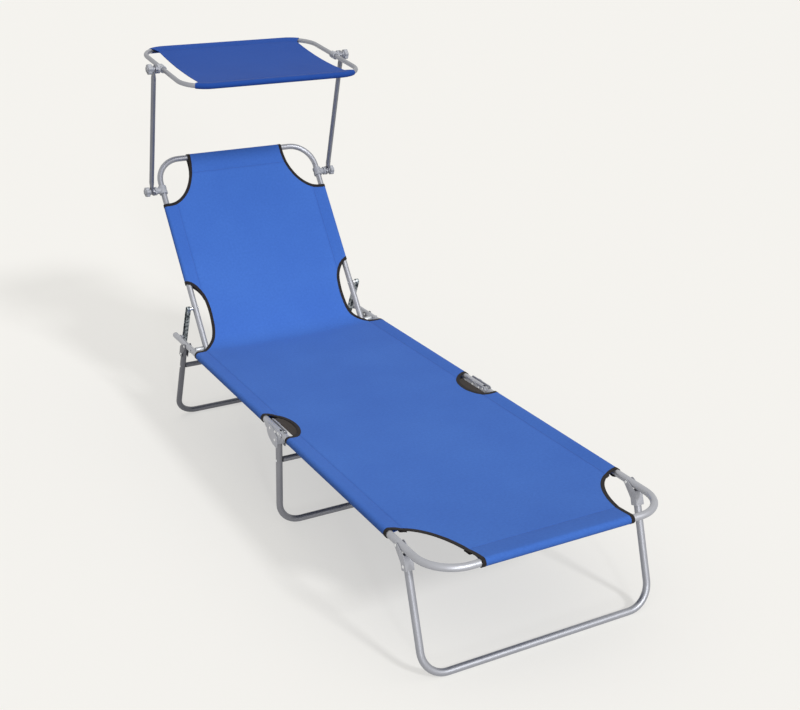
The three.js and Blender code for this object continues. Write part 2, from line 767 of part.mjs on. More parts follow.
// A sleeve that follows its bar a little way into the bends at both ends.
function bentSleeve(outward) {
  const corner = (across, depth) => vec(outward * across, outward * depth, 0);
  const { stations } = bentRoute([
    corner(-canopyHalfWidth, 0),
    corner(-canopyHalfWidth, canopyHalfDepth),
    corner(canopyHalfWidth, canopyHalfDepth),
    corner(canopyHalfWidth, 0),
  ], canopyBendRadius);
  const extrudePath = new Route(stations.slice(bendSteps - 1, bendSteps + 5));
  const [outer, inner] = loopOutlines(canopyTubeRadius, 0, 1, canopySeamInset, canopyRise)
    .map((loop) => loop.map((point) => flat(-point.y, point.x)));
  return sweep(hollowShape(outer, [inner]), extrudePath);
}

function canopyCloth() {
  const seam = canopyHalfDepth - canopySeamInset;
  const edge = seam + seamLap;
  const heightAt = (x, y) => canopyRise - hang(canopySag, y, seam, sagRun);
  const drawIn = (sign) => {
    const end = canopyHalfDepth + 2 * tubeRadius;
    const outline = [];
    for (let k = 0; k <= 2 * alongSteps; k += 1) {
      const share = k / alongSteps - 1;
      outline.push(flat(sign * (canopyClothHalf - canopyClothDraw * (1 - share ** 2)), share * end));
    }
    const outer = sign * canopyHalfWidth;
    outline.push(flat(outer, end), flat(outer, -end));
    return planBlock(outline, -3 * tubeRadius, 3 * tubeRadius);
  };
  return cut(join([
    hangingSheet(-canopyClothHalf, canopyClothHalf, -edge, edge, acrossSteps, heightAt),
    bentSleeve(1),
    bentSleeve(-1),
  ]), sides.map(([, sign]) => drawIn(sign)));
}

function canopyLoop() {
  return tubeAlong([
    vec(canopySeam / 2, canopyHalfDepth, 0),
    vec(canopyHalfWidth, canopyHalfDepth, 0),
    vec(canopyHalfWidth, -canopyHalfDepth, 0),
    vec(-canopyHalfWidth, -canopyHalfDepth, 0),
    vec(-canopyHalfWidth, canopyHalfDepth, 0),
    vec(-canopySeam / 2, canopyHalfDepth, 0),
  ], canopyBendRadius, canopyTubeRadius);
}

// Canopy: poles hinged to the back, a tilting frame on the poles and a knob at every hub
function buildCanopy(back) {
  const arms = new THREE.Group();
  arms.position.set(0, hubAlongBack, 0);
  arms.rotation.x = poleLean - reclineAngle;
  back.add(arms);
  const top = new THREE.Group();
  top.position.set(0, poleLength, 0);
  top.rotation.x = canopyTilt - poleLean;
  arms.add(top);
  sides.forEach(([side, sign]) => {
    addPiece(arms, `canopy_pole_${side}`, canopyPole(sign), silver);
    addPiece(back, `canopy_clamp_lower_${side}`, hubClamp(tubeRadius, backHalfWidth, sign, hubAlongBack), greyPlastic);
    addPiece(top, `canopy_clamp_upper_${side}`, hubClamp(canopyTubeRadius, canopyHalfWidth, sign, 0), greyPlastic);
    const lowerTip = sign * (backHalfWidth + tubeRadius + clamp.boltTip);
    const upperTip = sign * (canopyHalfWidth + canopyTubeRadius + clamp.boltTip);
    [['lower', 0, lowerTip], ['upper', poleLength, upperTip]].forEach(([place, along, tip]) => {
      const seat = new THREE.Group();
      seat.position.set(0, along, 0);
      addPiece(seat, `canopy_knob_${place}_${side}`, clampKnob(sign, tip), greyPlastic);
      arms.add(seat);
    });
  });
  addPiece(top, 'canopy_frame', canopyLoop(), silver);
  addPiece(top, 'canopy_fabric', canopyCloth(), blueCloth);
}

// A strut: a shallow tray with a row of holes, hung from the back and guided by its keeper
function reclineStrut(sign) {
  const near = sign * (strutAcross - strut.depth / 2);
  const floor = near + sign * strut.sheet;
  const far = near + sign * strut.depth;
  const straight = strut.length - strut.width / 2;
  const outlineAt = (radius) => [
    ...arc(0, 0, radius, 0, Math.PI, 6),
    ...arc(0, -straight, radius, Math.PI, 2 * Math.PI, 6),
  ];
  const holes = [];
  for (let i = 0; i < strut.holeCount; i += 1) {
    holes.push(holeAcross(strut.holeRadius - gap, near, 0, -strut.holeStart - i * strut.holePitch));
  }
  return cut(sheetAcross(outlineAt(strut.width / 2), [], near, far), [
    sheetAcross(outlineAt(strut.width / 2 - strut.sheet), [], floor, far + sign * overrun),
    holeAcross(pinRadius, near, 0, 0),
    ...holes,
  ]);
}

// Back section: a bent tube hinged at the hip, with its cloth, struts and canopy
function buildBackSection(parent) {
  const group = new THREE.Group();
  group.position.set(0, hipAlong, 0);
  group.rotation.x = reclineAngle;
  parent.add(group);
  const bar = tubeAlong([
    vec(-backHalfWidth, -backTail, 0),
    vec(-backHalfWidth, backLength, 0),
    vec(backHalfWidth, backLength, 0),
    vec(backHalfWidth, -backTail, 0),
  ], backBendRadius, tubeRadius);
  addPiece(group, 'back_frame', cut(bar, sides.flatMap(([, sign]) => [
    holeAcross(boltRadius, sign * backHalfWidth, 0, 0),
    holeAcross(pinRadius, sign * backHalfWidth, strut.reach, 0),
  ])), silver);
  addPiece(group, 'sling_back', backCloth(), blueCloth);
  sides.forEach(([side, sign]) => {
    const inner = backHalfWidth - tubeRadius - gap;
    const outer = backHalfWidth + tubeRadius + gap;
    const web = strutAcross - strut.depth / 2;
    const profile = [
      ...headProfile(inner, -1, rivetHeadRadius, rivetHeadHeight).reverse(),
      [pinRadius, inner],
      [pinRadius, outer],
      [strut.collarRadius, outer],
      [strut.collarRadius, web - gap],
      [pinRadius, web - gap],
      [pinRadius, web + strut.sheet + gap],
      ...headProfile(web + strut.sheet + gap, 1, rivetHeadRadius, rivetHeadHeight),
    ].map(([radius, x]) => [radius, sign * x]);
    addPiece(group, `strut_pivot_${side}`, turnedAcross(profile, strut.reach, 0), zinc);
    const hanger = new THREE.Group();
    hanger.position.set(0, strut.reach, 0);
    hanger.rotation.x = -reclineAngle / 2;
    addPiece(hanger, `recline_strut_${side}`, reclineStrut(sign), darkSteel);
    group.add(hanger);
  });
  buildCanopy(group);
}

const lounger = new THREE.Group();
const frame = new THREE.Group();
frame.position.z = seatAxisHeight;
lounger.add(frame);
buildFootSection(frame);
buildSeatSection(frame);
buildBackSection(frame);

const extent = new THREE.Box3().setFromObject(lounger, true);
lounger.position.set(0, -(extent.min.y + extent.max.y) / 2, -extent.min.z);

export default lounger;
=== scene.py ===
# Folding sun lounger with a tilting canopy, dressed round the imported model.
# Each piece is modelled in millimetres in its own section's frame, then set down in metres.
import json
import math

import bpy
from mathutils import Matrix, Vector


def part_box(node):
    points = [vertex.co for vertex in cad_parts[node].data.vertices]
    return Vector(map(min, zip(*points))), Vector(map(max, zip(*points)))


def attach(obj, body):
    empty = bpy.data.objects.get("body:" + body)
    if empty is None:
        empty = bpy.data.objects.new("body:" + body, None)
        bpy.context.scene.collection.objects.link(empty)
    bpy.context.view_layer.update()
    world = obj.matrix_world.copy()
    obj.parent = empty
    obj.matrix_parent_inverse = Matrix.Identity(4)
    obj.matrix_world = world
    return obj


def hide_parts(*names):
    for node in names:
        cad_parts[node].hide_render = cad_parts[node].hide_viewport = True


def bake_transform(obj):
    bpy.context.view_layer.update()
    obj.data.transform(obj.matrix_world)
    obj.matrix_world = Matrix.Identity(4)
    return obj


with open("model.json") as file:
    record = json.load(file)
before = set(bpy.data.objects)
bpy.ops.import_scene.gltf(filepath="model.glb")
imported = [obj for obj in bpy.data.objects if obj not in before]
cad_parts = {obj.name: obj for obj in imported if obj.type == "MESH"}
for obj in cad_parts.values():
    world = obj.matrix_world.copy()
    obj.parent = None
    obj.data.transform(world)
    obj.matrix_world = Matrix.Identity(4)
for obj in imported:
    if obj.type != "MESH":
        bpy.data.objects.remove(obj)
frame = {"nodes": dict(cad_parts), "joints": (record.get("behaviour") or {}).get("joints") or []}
bpy.ops.object.select_all(action="DESELECT")
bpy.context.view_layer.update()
print("frame loaded")

mm = 0.001
pi = math.pi
sides = (("Left", "left", -1), ("Right", "right", 1))

# Main sizes in millimetres, repeated from the model's own source. Half widths are to the tubes'
# axes, places along start at the foot bar, fit is the play between metal pieces, and the angle
# is in degrees.
lounger = {
    "frameHalf": 279, "seatHeight": 263, "tube": 8, "wall": 1, "fit": 0.3,
    "footBend": 81, "joint": 694, "foldPin": 711.5, "hip": 1329, "seatTubeEnd": 1470,
    "backHalf": 239, "backBend": 68, "backLength": 562, "backTail": 10, "recline": 53.7,
}
recline = math.radians(lounger["recline"])


def turnX(angle):
    return Matrix.Rotation(angle, 4, "X")


def along(y, z=0.0):
    return Matrix.Translation((0, y, z))


# Where each section's own frame lies; the hip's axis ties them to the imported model
hipAxis = next(Vector(j["pos_m"]) for j in frame["joints"] if j["name"] == "back_recline")
metres = Matrix.Scale(mm, 4)
seatPlace = metres @ along(hipAxis.y / mm - lounger["hip"], hipAxis.z / mm)
backPlace = seatPlace @ along(lounger["hip"]) @ turnX(recline)


# Camera, at the photograph's place
camera = {
    "at": (-1.2601, -2.5282, 1.4611), "yaw": 27.8, "pitch": 23.5, "roll": -0.4,
    "lens": 54.96, "shift": (0.0129, 0.0602),
}
bpy.ops.object.camera_add(location=camera["at"])
photoCamera = bpy.context.object
photoCamera.name = "photoCamera"
photoCamera.rotation_euler = (
    Matrix.Rotation(-math.radians(camera["yaw"]), 3, "Z")
    @ Matrix.Rotation(math.radians(90 - camera["pitch"]), 3, "X")
    @ Matrix.Rotation(math.radians(camera["roll"]), 3, "Z")
).to_euler()
photoCamera.data.lens = camera["lens"]
photoCamera.data.shift_x, photoCamera.data.shift_y = camera["shift"]
bpy.context.scene.camera = photoCamera
print("camera set")


# Materials

# An sRGB hex code as linear red, green, blue, and 1 for alpha
def colour(code):
    parts = [int(code[i:i + 2], 16) / 255 for i in (0, 2, 4)]
    return [p / 12.92 if p <= 0.04045 else ((p + 0.055) / 1.055) ** 2.4 for p in parts] + [1.0]


# Leads outputs into a node's sockets; links are socket: output
def link(tree, node, links):
    for socket, output in links.items():
        tree.links.new(output, node.inputs[socket])


# Adds a node; settings are its sockets or its own properties
def addNode(tree, kind, settings=None, links=None):
    node = tree.nodes.new(kind)
    for key, value in (settings or {}).items():
        if isinstance(key, int) or key in node.inputs:
            node.inputs[key].default_value = value
        else:
            setattr(node, key, value)
    link(tree, node, links or {})
    return node


def newMaterial(name, sockets):
    material = bpy.data.materials.new(name)
    material.use_nodes = True
    tree = material.node_tree
    shader = tree.nodes["Principled BSDF"]
    for key, value in sockets.items():
        shader.inputs[key].default_value = value
    return material, tree, shader


# Gives a surface its two tones, its gloss and its fine relief, each by a pattern of its own
def dress(tree, shader, tones, toneBy, gloss, glossBy, relief, reliefBy):
    (dark, light), (smoothest, roughest), (strength, depth) = tones, gloss, relief
    tone = addNode(tree, "ShaderNodeMix",
                   {"data_type": "RGBA", 6: colour(dark), 7: colour(light)}, {0: toneBy})
    rough = addNode(tree, "ShaderNodeMapRange", {"To Min": smoothest, "To Max": roughest},
                    {"Value": glossBy})
    bump = addNode(tree, "ShaderNodeBump", {"Strength": strength, "Distance": depth},
                   {"Height": reliefBy})
    link(tree, shader, {"Base Color": tone.outputs[2], "Roughness": rough.outputs["Result"],
                        "Normal": bump.outputs["Normal"]})


# Powder-coated steel: baked satin with a metal flake, which leaves a tube bright along its middle
# and darker at its edges, and a faint orange peel.
# The peel is 1.6 mm across, about twice the real one, so that it shows.
def powderCoat(name, light, dark, metal, rough):
    material, tree, shader = newMaterial(name, {"Metallic": metal})
    place = addNode(tree, "ShaderNodeTexCoord").outputs["Object"]
    cloud, peel = (
        addNode(tree, "ShaderNodeTexNoise", {"Scale": scale, "Detail": detail},
                {"Vector": place}).outputs["Fac"]
        for scale, detail in ((14, 3), (620, 1)))
    dress(tree, shader, (dark, light), cloud, (rough - 0.05, rough + 0.07), cloud,
          (0.12, 0.0003), peel)
    return material


# Zinc-plated or pressed steel: cloudy plating, or on the pressed strut sharp patches of painted
# reflection, and fine drawn scratches along one way
def platedSteel(name, light, dark, rough, cloudScale, patchy=0.5):
    material, tree, shader = newMaterial(name, {"Metallic": 1.0})
    place = addNode(tree, "ShaderNodeTexCoord").outputs["Object"]
    cloud = addNode(tree, "ShaderNodeTexNoise", {"Scale": cloudScale, "Detail": 4},
                    {"Vector": place})
    patches = addNode(tree, "ShaderNodeMapRange",
                      {"From Min": 0.5 - patchy, "From Max": 0.5 + patchy},
                      {"Value": cloud.outputs["Fac"]})
    drawn = addNode(tree, "ShaderNodeMapping", {"Scale": (1, 12, 1)}, {"Vector": place})
    scratch = addNode(tree, "ShaderNodeTexNoise", {"Scale": 300, "Detail": 2},
                      {"Vector": drawn.outputs["Vector"]}).outputs["Fac"]
    dress(tree, shader, (dark, light), patches.outputs["Result"], (rough - 0.08, rough + 0.12),
          scratch, (0.15, 0.0002), scratch)
    return material


# Moulded polypropylene: matt with a fine spark grain of about 0.7 mm
def mouldedPlastic(name, light, dark, rough):
    material, tree, shader = newMaterial(name, {"IOR": 1.49})
    place = addNode(tree, "ShaderNodeTexCoord").outputs["Object"]
    cloud = addNode(tree, "ShaderNodeTexNoise", {"Scale": 40, "Detail": 2},
                    {"Vector": place}).outputs["Fac"]
    grain = addNode(tree, "ShaderNodeTexVoronoi", {"Scale": 1400}, {"Vector": place})
    dress(tree, shader, (dark, light), cloud, (rough - 0.05, rough + 0.08), cloud,
          (0.2, 0.0002), grain.outputs["Distance"])
    return material


# Painted shade in metres inside the seam, with how far each darkens the cloth: a thin line along
# the seam's groove, and the band over the doubled hem beside it
seamGrooveShade = {"at": 0.003, "reach": 0.0016, "shade": 0.3}
hemBandShade = {"from": 0.0075, "to": 0.0085, "shade": 0.09}
waveBand = 0.314159  # metres between the wave texture's bands at a scale of 1


# Woven polyester on the piece's own UV map, which is in metres along the threads. It is matt, and
# its hollows between threads are darkened with painted shade. Warp and weft stand pitch apart; the
# real cloth's 0.7 mm threads are drawn coarser so that they show.
def wovenCloth(name, light, dark, deep, pitch, rough, weaveDepth, sewn=False):
    material, tree, shader = newMaterial(name, {
        "Sheen Weight": 0.04, "Sheen Roughness": 0.5, "Specular IOR Level": 0.12,
        "Roughness": rough,
    })
    threads = addNode(tree, "ShaderNodeUVMap", {"uv_map": "threads"}).outputs["UV"]
    place = addNode(tree, "ShaderNodeTexCoord").outputs["Object"]
    warp, weft = (
        addNode(tree, "ShaderNodeTexWave",
                {"bands_direction": way, "Scale": waveBand / pitch, "Distortion": 0.6,
                 "Detail": 1, "Detail Scale": 0.02}, {"Vector": threads}).outputs["Fac"]
        for way in ("X", "Y"))
    weave = addNode(tree, "ShaderNodeMath", {"operation": "MULTIPLY"},
                    {0: warp, 1: weft}).outputs[0]
    cloud = addNode(tree, "ShaderNodeTexNoise", {"Scale": 5.5, "Detail": 3}, {"Vector": place})
    slub = addNode(tree, "ShaderNodeTexNoise", {"Scale": 160, "Detail": 2}, {"Vector": threads})
    tone = addNode(tree, "ShaderNodeMix",
                   {"data_type": "RGBA", 6: colour(dark), 7: colour(light)},
                   {0: cloud.outputs["Fac"]})
    slubAndPaintedShade = [addNode(tree, "ShaderNodeMapRange", {"To Min": -0.1, "To Max": 0.3},
                      {"Value": slub.outputs["Fac"]})]
    # Painted shade: a thin dark line along the seam's groove, and a darker band over the sleeve
    # and doubled hem out to the hem's edge
    if sewn:
        seams = addNode(tree, "ShaderNodeUVMap", {"uv_map": "seams"})
        inwards = addNode(tree, "ShaderNodeSeparateXYZ", {},
                          {"Vector": seams.outputs["UV"]}).outputs["X"]
        away = addNode(tree, "ShaderNodeMath", {"operation": "SUBTRACT", 1: seamGrooveShade["at"]},
                       {0: inwards})
        away = addNode(tree, "ShaderNodeMath", {"operation": "ABSOLUTE"}, {0: away.outputs[0]})
        slubAndPaintedShade.append(addNode(
            tree, "ShaderNodeMapRange",
            {"From Max": seamGrooveShade["reach"], "To Min": seamGrooveShade["shade"], "To Max": 0.0},
            {"Value": away.outputs[0]}))
        slubAndPaintedShade.append(addNode(
            tree, "ShaderNodeMapRange",
            {"From Min": hemBandShade["from"], "From Max": hemBandShade["to"],
             "To Min": hemBandShade["shade"], "To Max": 0.0}, {"Value": inwards}))
    # Painted shade in the hollows between threads, where the weave is low
    slubAndPaintedShade.append(addNode(tree, "ShaderNodeMapRange", {"To Min": 0.22, "To Max": 0.0},
                          {"Value": weave}))
    for share in slubAndPaintedShade:
        tone = addNode(tree, "ShaderNodeMix", {"data_type": "RGBA", 7: colour(deep)},
                       {0: share.outputs["Result"], 6: tone.outputs[2]})
    bump = addNode(tree, "ShaderNodeBump", {"Strength": weaveDepth, "Distance": 0.0004},
                   {"Height": weave})
    link(tree, shader, {"Base Color": tone.outputs[2], "Normal": bump.outputs["Normal"]})
    return material


silverPaint = powderCoat("silverPowderCoat", "BABCC4", "AAACB4", 0.75, 0.46)
# The coats below are darker copies of the one silver powder coat: their darker tones are painted
# shade for the back and canopy frames, the poles, the foot, mid and rear legs and the rear yokes
frameShadedPaint = powderCoat("canopyShadedPowderCoat", "A6A8B0", "95979F", 0.8, 0.46)
poleShadedPaint = powderCoat("poleShadedPowderCoat", "8A8C94", "787A82", 0.8, 0.47)
midLegShadedPaint = powderCoat("midLegShadedPowderCoat", "9A9BA2", "87888F", 0.8, 0.47)
footLegShadedPaint = powderCoat("footLegShadedPowderCoat", "AAACB4", "999BA3", 0.8, 0.47)
rearLegShadedPaint = powderCoat("rearLegShadedPowderCoat", "7C7D84", "6A6B72", 0.8, 0.47)
zincSteel = platedSteel("zincPlatedSteel", "C6C9CE", "AEB1B7", 0.5, 60)
brightSteel = platedSteel("brightRivetSteel", "ECEDEF", "D4D6DA", 0.3, 60)
# The strut's sharp patches from near black to light grey are painted reflections, as of light
# glinting on its pressed teeth
strutPaintedReflectionSteel = platedSteel("pressedStrutSteelPaintedReflections", "B4BCC0", "2B333A", 0.45, 110, 0.1)
darkPlastic = mouldedPlastic("darkGreyPolypropylene", "7B7D83", "67696F", 0.4)
greyPlastic = mouldedPlastic("greyPolypropylene", "A9ACB4", "94979F", 0.4)
clothBlue = wovenCloth("royalBluePolyester", "4A7ACF", "3E6AC0", "284A98", 0.0026, 0.82, 0.35,
                       sewn=True)
canopyBlue = wovenCloth("canopyBluePolyester", "2552A8", "1F4799", "17387C", 0.0026, 0.82, 0.35,
                        sewn=True)
tapeBlack = wovenCloth("blackBindingTape", "302C2B", "262324", "151314", 0.0018, 0.8, 0.4)
guardBrown = wovenCloth("guardWebbing", "4C4643", "3A3533", "1C1A1A", 0.004, 0.88, 0.6)
threadBlue = mouldedPlastic("blueThread", "3A5CAA", "34529A", 0.6)
print("materials made")


# Modelling helpers

def editMode():
    bpy.ops.object.mode_set(mode="EDIT")


def objectMode():
    bpy.ops.object.mode_set(mode="OBJECT")


def onlySelect(piece):
    bpy.ops.object.select_all(action="DESELECT")
    piece.select_set(True)
    bpy.context.view_layer.objects.active = piece


# Selects by place in edit mode: the test gets a face's centre and normal, or an edge's ends
def pick(piece, kind, test):
    onlySelect(piece)
    editMode()
    bpy.ops.mesh.select_mode(type=kind)
    bpy.ops.mesh.select_all(action="DESELECT")
    objectMode()
    mesh = piece.data
    if kind == "FACE":
        for face in mesh.polygons:
            face.select = test(face.center, face.normal)
    else:
        for edge in mesh.edges:
            edge.select = test(*(mesh.vertices[i].co for i in edge.vertices))
    editMode()


def applyModifier(piece, kind, settings):
    onlySelect(piece)
    modifier = piece.modifiers.new(kind.lower(), kind)
    for key, value in settings.items():
        setattr(modifier, key, value)
    bpy.ops.object.modifier_apply(modifier=modifier.name)


def roundEdges(piece, width, segments=2, angle=30):
    applyModifier(piece, "BEVEL", {"width": width, "segments": segments,
                                   "limit_method": "ANGLE", "angle_limit": math.radians(angle)})


def boolean(piece, cutter, operation):
    applyModifier(piece, "BOOLEAN", {"operation": operation, "object": cutter, "solver": "EXACT"})
    bpy.data.objects.remove(cutter)


def tidyNormals(piece, merge=0.001):
    onlySelect(piece)
    editMode()
    bpy.ops.mesh.select_all(action="SELECT")
    bpy.ops.mesh.remove_doubles(threshold=merge)
    bpy.ops.mesh.normals_make_consistent(inside=False)
    objectMode()


def joinPieces(first, *others):
    onlySelect(first)
    for other in others:
        other.select_set(True)
    bpy.ops.object.join()
    return first


def copyPiece(piece):
    onlySelect(piece)
    bpy.ops.object.duplicate()
    return bpy.context.object


def mirrorCopy(piece):
    twin = copyPiece(piece)
    twin.data.transform(Matrix.Scale(-1, 4, (1, 0, 0)))
    twin.data.flip_normals()
    return twin


# Sets a finished piece down in its section, names and shades it, gives it its finish and body, and
# hides the model's nodes that it stands for
def finish(piece, name, place, material, body, nodes=(), smooth=35):
    onlySelect(piece)
    piece.data.transform(place)
    bpy.ops.object.shade_smooth_by_angle(angle=math.radians(smooth))
    piece.name = piece.data.name = name
    piece.data.materials.clear()
    piece.data.materials.append(material)
    if body:
        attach(piece, body)
    if nodes:
        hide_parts(*nodes)
    return piece


# A right-hand piece and its mirror image; body and node end in the side's name where {} stands
def finishPair(piece, name, place, material, body, node=None, smooth=35):
    twins = {"right": piece, "left": mirrorCopy(piece)}
    for title, side, _ in sides:
        finish(twins[side], name + title, place, material, body.format(side),
               [node.format(side)] if node else (), smooth)
    return twins


# Tube bent at its corners: a ring pushed along each straight and spun round each bend
def bentTube(corners, radius, bendRadius=0.0, ringSides=28):
    bendSteps = 14
    corners = [Vector(corner) for corner in corners]
    heading = (corners[1] - corners[0]).normalized()
    bpy.ops.mesh.primitive_circle_add(vertices=ringSides, radius=radius, location=corners[0],
                                      rotation=heading.to_track_quat("Z", "Y").to_euler())
    tube = bpy.context.object
    bpy.ops.object.transform_apply(location=True, rotation=True, scale=True)
    editMode()
    bpy.ops.mesh.select_mode(type="VERT")
    bpy.ops.mesh.select_all(action="SELECT")
    here = corners[0]
    for before, corner, after in zip(corners, corners[1:], corners[2:]):
        inward, outward = (corner - before).normalized(), (after - corner).normalized()
        turn = inward.angle(outward)
        reach = bendRadius * math.tan(turn / 2)
        side = (outward - inward * inward.dot(outward)).normalized()
        start = corner - inward * reach
        bpy.ops.mesh.extrude_region_move(TRANSFORM_OT_translate={"value": start - here})
        bpy.ops.mesh.spin(steps=bendSteps, angle=-turn, center=start + side * bendRadius,
                          axis=inward.cross(outward))
        here = corner + outward * reach
    bpy.ops.mesh.extrude_region_move(TRANSFORM_OT_translate={"value": corners[-1] - here})
    objectMode()
    tidyNormals(tube)
    applyModifier(tube, "SOLIDIFY", {"thickness": lounger["wall"], "offset": -1})
    return tube


# A turned shape about the line through (y, z) along X: rings of (x, radius), capped at both ends
def turned(profile, at=(0.0, 0.0), ringSides=28):
    (x, radius), *others = profile
    bpy.ops.mesh.primitive_circle_add(vertices=ringSides, radius=radius, fill_type="NGON",
                                      location=(x, *at), rotation=(0, pi / 2, 0))
    piece = bpy.context.object
    bpy.ops.object.transform_apply(location=True, rotation=True, scale=True)
    editMode()
    bpy.ops.mesh.select_mode(type="FACE")
    bpy.ops.mesh.select_all(action="SELECT")
    for nextX, nextRadius in others:
        bpy.ops.mesh.extrude_region_move(TRANSFORM_OT_translate={"value": (nextX - x, 0, 0)})
        share = nextRadius / radius
        bpy.ops.transform.resize(value=(1, share, share), center_override=(nextX, *at))
        x, radius = nextX, nextRadius
    objectMode()
    tidyNormals(piece, 1e-4)
    return piece


# A low dome on the face at x, towards away; it stops a little short of its pole, on a small flat
def dome(x, away, radius, height, rings=5):
    shares = [0.92 * k / rings * pi / 2 for k in range(rings + 1)]
    return [(x + away * height * math.sin(a), radius * math.cos(a)) for a in shares]


# A block with rounded edges between two corners
def block(low, high, edge=0.0, segments=2):
    low, high = Vector(low), Vector(high)
    bpy.ops.mesh.primitive_cube_add(size=1, location=(low + high) / 2)
    piece = bpy.context.object
    piece.scale = high - low
    bpy.ops.object.transform_apply(location=True, rotation=True, scale=True)
    if edge:
        roundEdges(piece, edge, segments)
    return piece


# A closed cutter standing on a smooth outline of (across, along) points
def cutter(outline, low=-40, high=40):
    bpy.ops.mesh.primitive_circle_add(vertices=len(outline), radius=1, fill_type="NGON")
    piece = bpy.context.object
    for vertex, (x, s) in zip(piece.data.vertices, outline):
        vertex.co = (x, s, low)
    editMode()
    bpy.ops.mesh.select_all(action="SELECT")
    bpy.ops.mesh.extrude_region_move(TRANSFORM_OT_translate={"value": (0, 0, high - low)})
    bpy.ops.mesh.select_all(action="SELECT")
    bpy.ops.mesh.normals_make_consistent(inside=False)
    objectMode()
    return piece


# Smooth closed curve through the given points
def smoothLoop(points, steps=7):
    curve, count = [], len(points)
    for k in range(count):
        a, b, c, d = (Vector(points[(k + n) % count]) for n in (-1, 0, 1, 2))
        for step in range(steps):
            t = step / steps
            curve.append(tuple(0.5 * (2 * b + (c - a) * t + (2 * a - 5 * b + 4 * c - d) * t * t
                                      + (3 * b - a - 3 * c + d) * t ** 3)))
    return curve


# A plate between two places across, cut to a smooth outline of (along, up)
def platePiece(outline, fromX, toX):
    plate = cutter(smoothLoop(outline, 4), fromX, toX)
    plate.data.transform(Matrix(((0, 0, 1, 0), (1, 0, 0, 0), (0, 1, 0, 0), (0, 0, 0, 1))))
    return plate


# A copy of a sheet-metal node, its doubles merged and flats rejoined, plates added, edges rounded
def formedFrom(node, edge, added=()):
    piece = bpy.data.objects.new("formed", frame["nodes"][node].data.copy())
    bpy.context.scene.collection.objects.link(piece)
    piece.data.transform(Matrix.Scale(1 / mm, 4))
    tidyNormals(piece, 0.002)
    editMode()
    bpy.ops.mesh.select_all(action="SELECT")
    bpy.ops.mesh.dissolve_limited(angle_limit=math.radians(1))
    objectMode()
    for plate in added:
        boolean(piece, plate, "UNION")
    roundEdges(piece, edge)
    return piece


def meshPiece(name, points, faces):
    mesh = bpy.data.meshes.new(name)
    mesh.from_pydata(points, [], faces)
    piece = bpy.data.objects.new(name, mesh)
    bpy.context.scene.collection.objects.link(piece)
    return piece


def nodeBox(node):
    low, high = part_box(node)
    return low / mm, high / mm


# Frame tubes. The slot in the seat tube's end lets in the fold hinge's tongue.
tube, fit = lounger["tube"], lounger["fit"]
half, backHalf = lounger["frameHalf"], lounger["backHalf"]
joint, headBar, backTail = lounger["joint"], lounger["backLength"], lounger["backTail"]

# Where a piece may start beside a tube: inside the seat's, and inside and outside the back's
seatInner = half - tube - fit
backInner, backOuter = backHalf - tube - fit, backHalf + tube + fit

footFrame = bentTube([(-half, joint, 0), (-half, 0, 0), (half, 0, 0), (half, joint, 0)],
                     tube, lounger["footBend"])
finish(footFrame, "footFrame", seatPlace, silverPaint, "foot_section",
       ["foot_frame"])

slot = {"half": 2.9, "from": 690, "to": 722.5, "high": 12}
seatTube = bentTube([(half, joint + fit, 0), (half, lounger["seatTubeEnd"], 0)], tube)
boolean(seatTube, block((half - slot["half"], slot["from"], 0),
                        (half + slot["half"], slot["to"], slot["high"])), "DIFFERENCE")
finishPair(seatTube, "seatTube", seatPlace, silverPaint, "seat", "seat_tube_{}")

backFrame = bentTube([(-backHalf, -backTail, 0), (-backHalf, headBar, 0),
                      (backHalf, headBar, 0), (backHalf, -backTail, 0)],
                     tube, lounger["backBend"])
finish(backFrame, "backFrame", backPlace, frameShadedPaint, "back", ["back_frame"])
print("frame tubes bent")


# The mid leg's cheeks are broad: they round out headwards below the tube before they close on
# the socket. The outline is (along, up), and each wall stands between two places across.
cheek = {
    "outline": [(720, -37), (719.5, -12), (727, -3), (741, 6), (752, 9), (764, 8), (774, 2),
                (778, -8), (774, -20), (763, -29), (750, -34.5), (744, -37)],
    "walls": ((289.05, 290.7), (267.3, 268.95)),
}


def cheekPlates(sign):
    plates = [platePiece(cheek["outline"], *sorted((sign * near, sign * far)))
              for near, far in cheek["walls"]]
    for plate in plates:
        plate.data.transform(Matrix.Scale(1 / mm, 4) @ seatPlace)
    return plates


# Legs: each stands in its own frame with its pivot at the origin. pivot is its place along the
# lounger, offset its tube's distance from the pivot, socket how far down the yoke's socket ends,
# and plates the steel outside its tube.
# Each leg's paint, and the rear leg's yoke paint, is a darker copy of the silver coat that stands
# for painted shade
legs = {
    "foot": {"pivot": 135, "offset": 19, "lean": 17, "turn": 0, "socket": 42, "plates": 1.5,
             "paint": footLegShadedPaint, "yokePaint": silverPaint},
    "mid": {"pivot": 757, "offset": 26, "lean": -4.7, "turn": 0, "socket": 30, "plates": 3.0,
            "paint": midLegShadedPaint, "yokePaint": silverPaint},
    "rear": {"pivot": 1370, "offset": 19, "lean": 25, "turn": pi, "socket": 42, "plates": 1.5,
             "paint": rearLegShadedPaint, "yokePaint": rearLegShadedPaint},
}
legTube = {"bend": 55, "top": 8.3, "crossbar": 7, "crossbarDrop": 78, "yokeEdge": 0.45}
socketRivet = {"shank": 1.6, "sunk": 1, "head": 3.6, "high": 1.8, "rise": 9}
barRivet = {"shank": 1.6, "sunk": 1.5, "head": 3.4, "high": 1.7, "seat": -0.4}


# How far down a leg a height below its pivot lies, on a line set back from the pivot
def legReach(drop, setback, lean):
    return (drop + setback * math.sin(lean)) / math.cos(lean)


# A rivet's domed head and the end of its shank; seated is how far its rim stands off the tube
def legRivet(size, seated, at):
    outside = half + tube
    return turned([(outside - size["sunk"], size["shank"])]
                  + dome(outside + seated, 1, size["head"], size["high"]), at, 20)


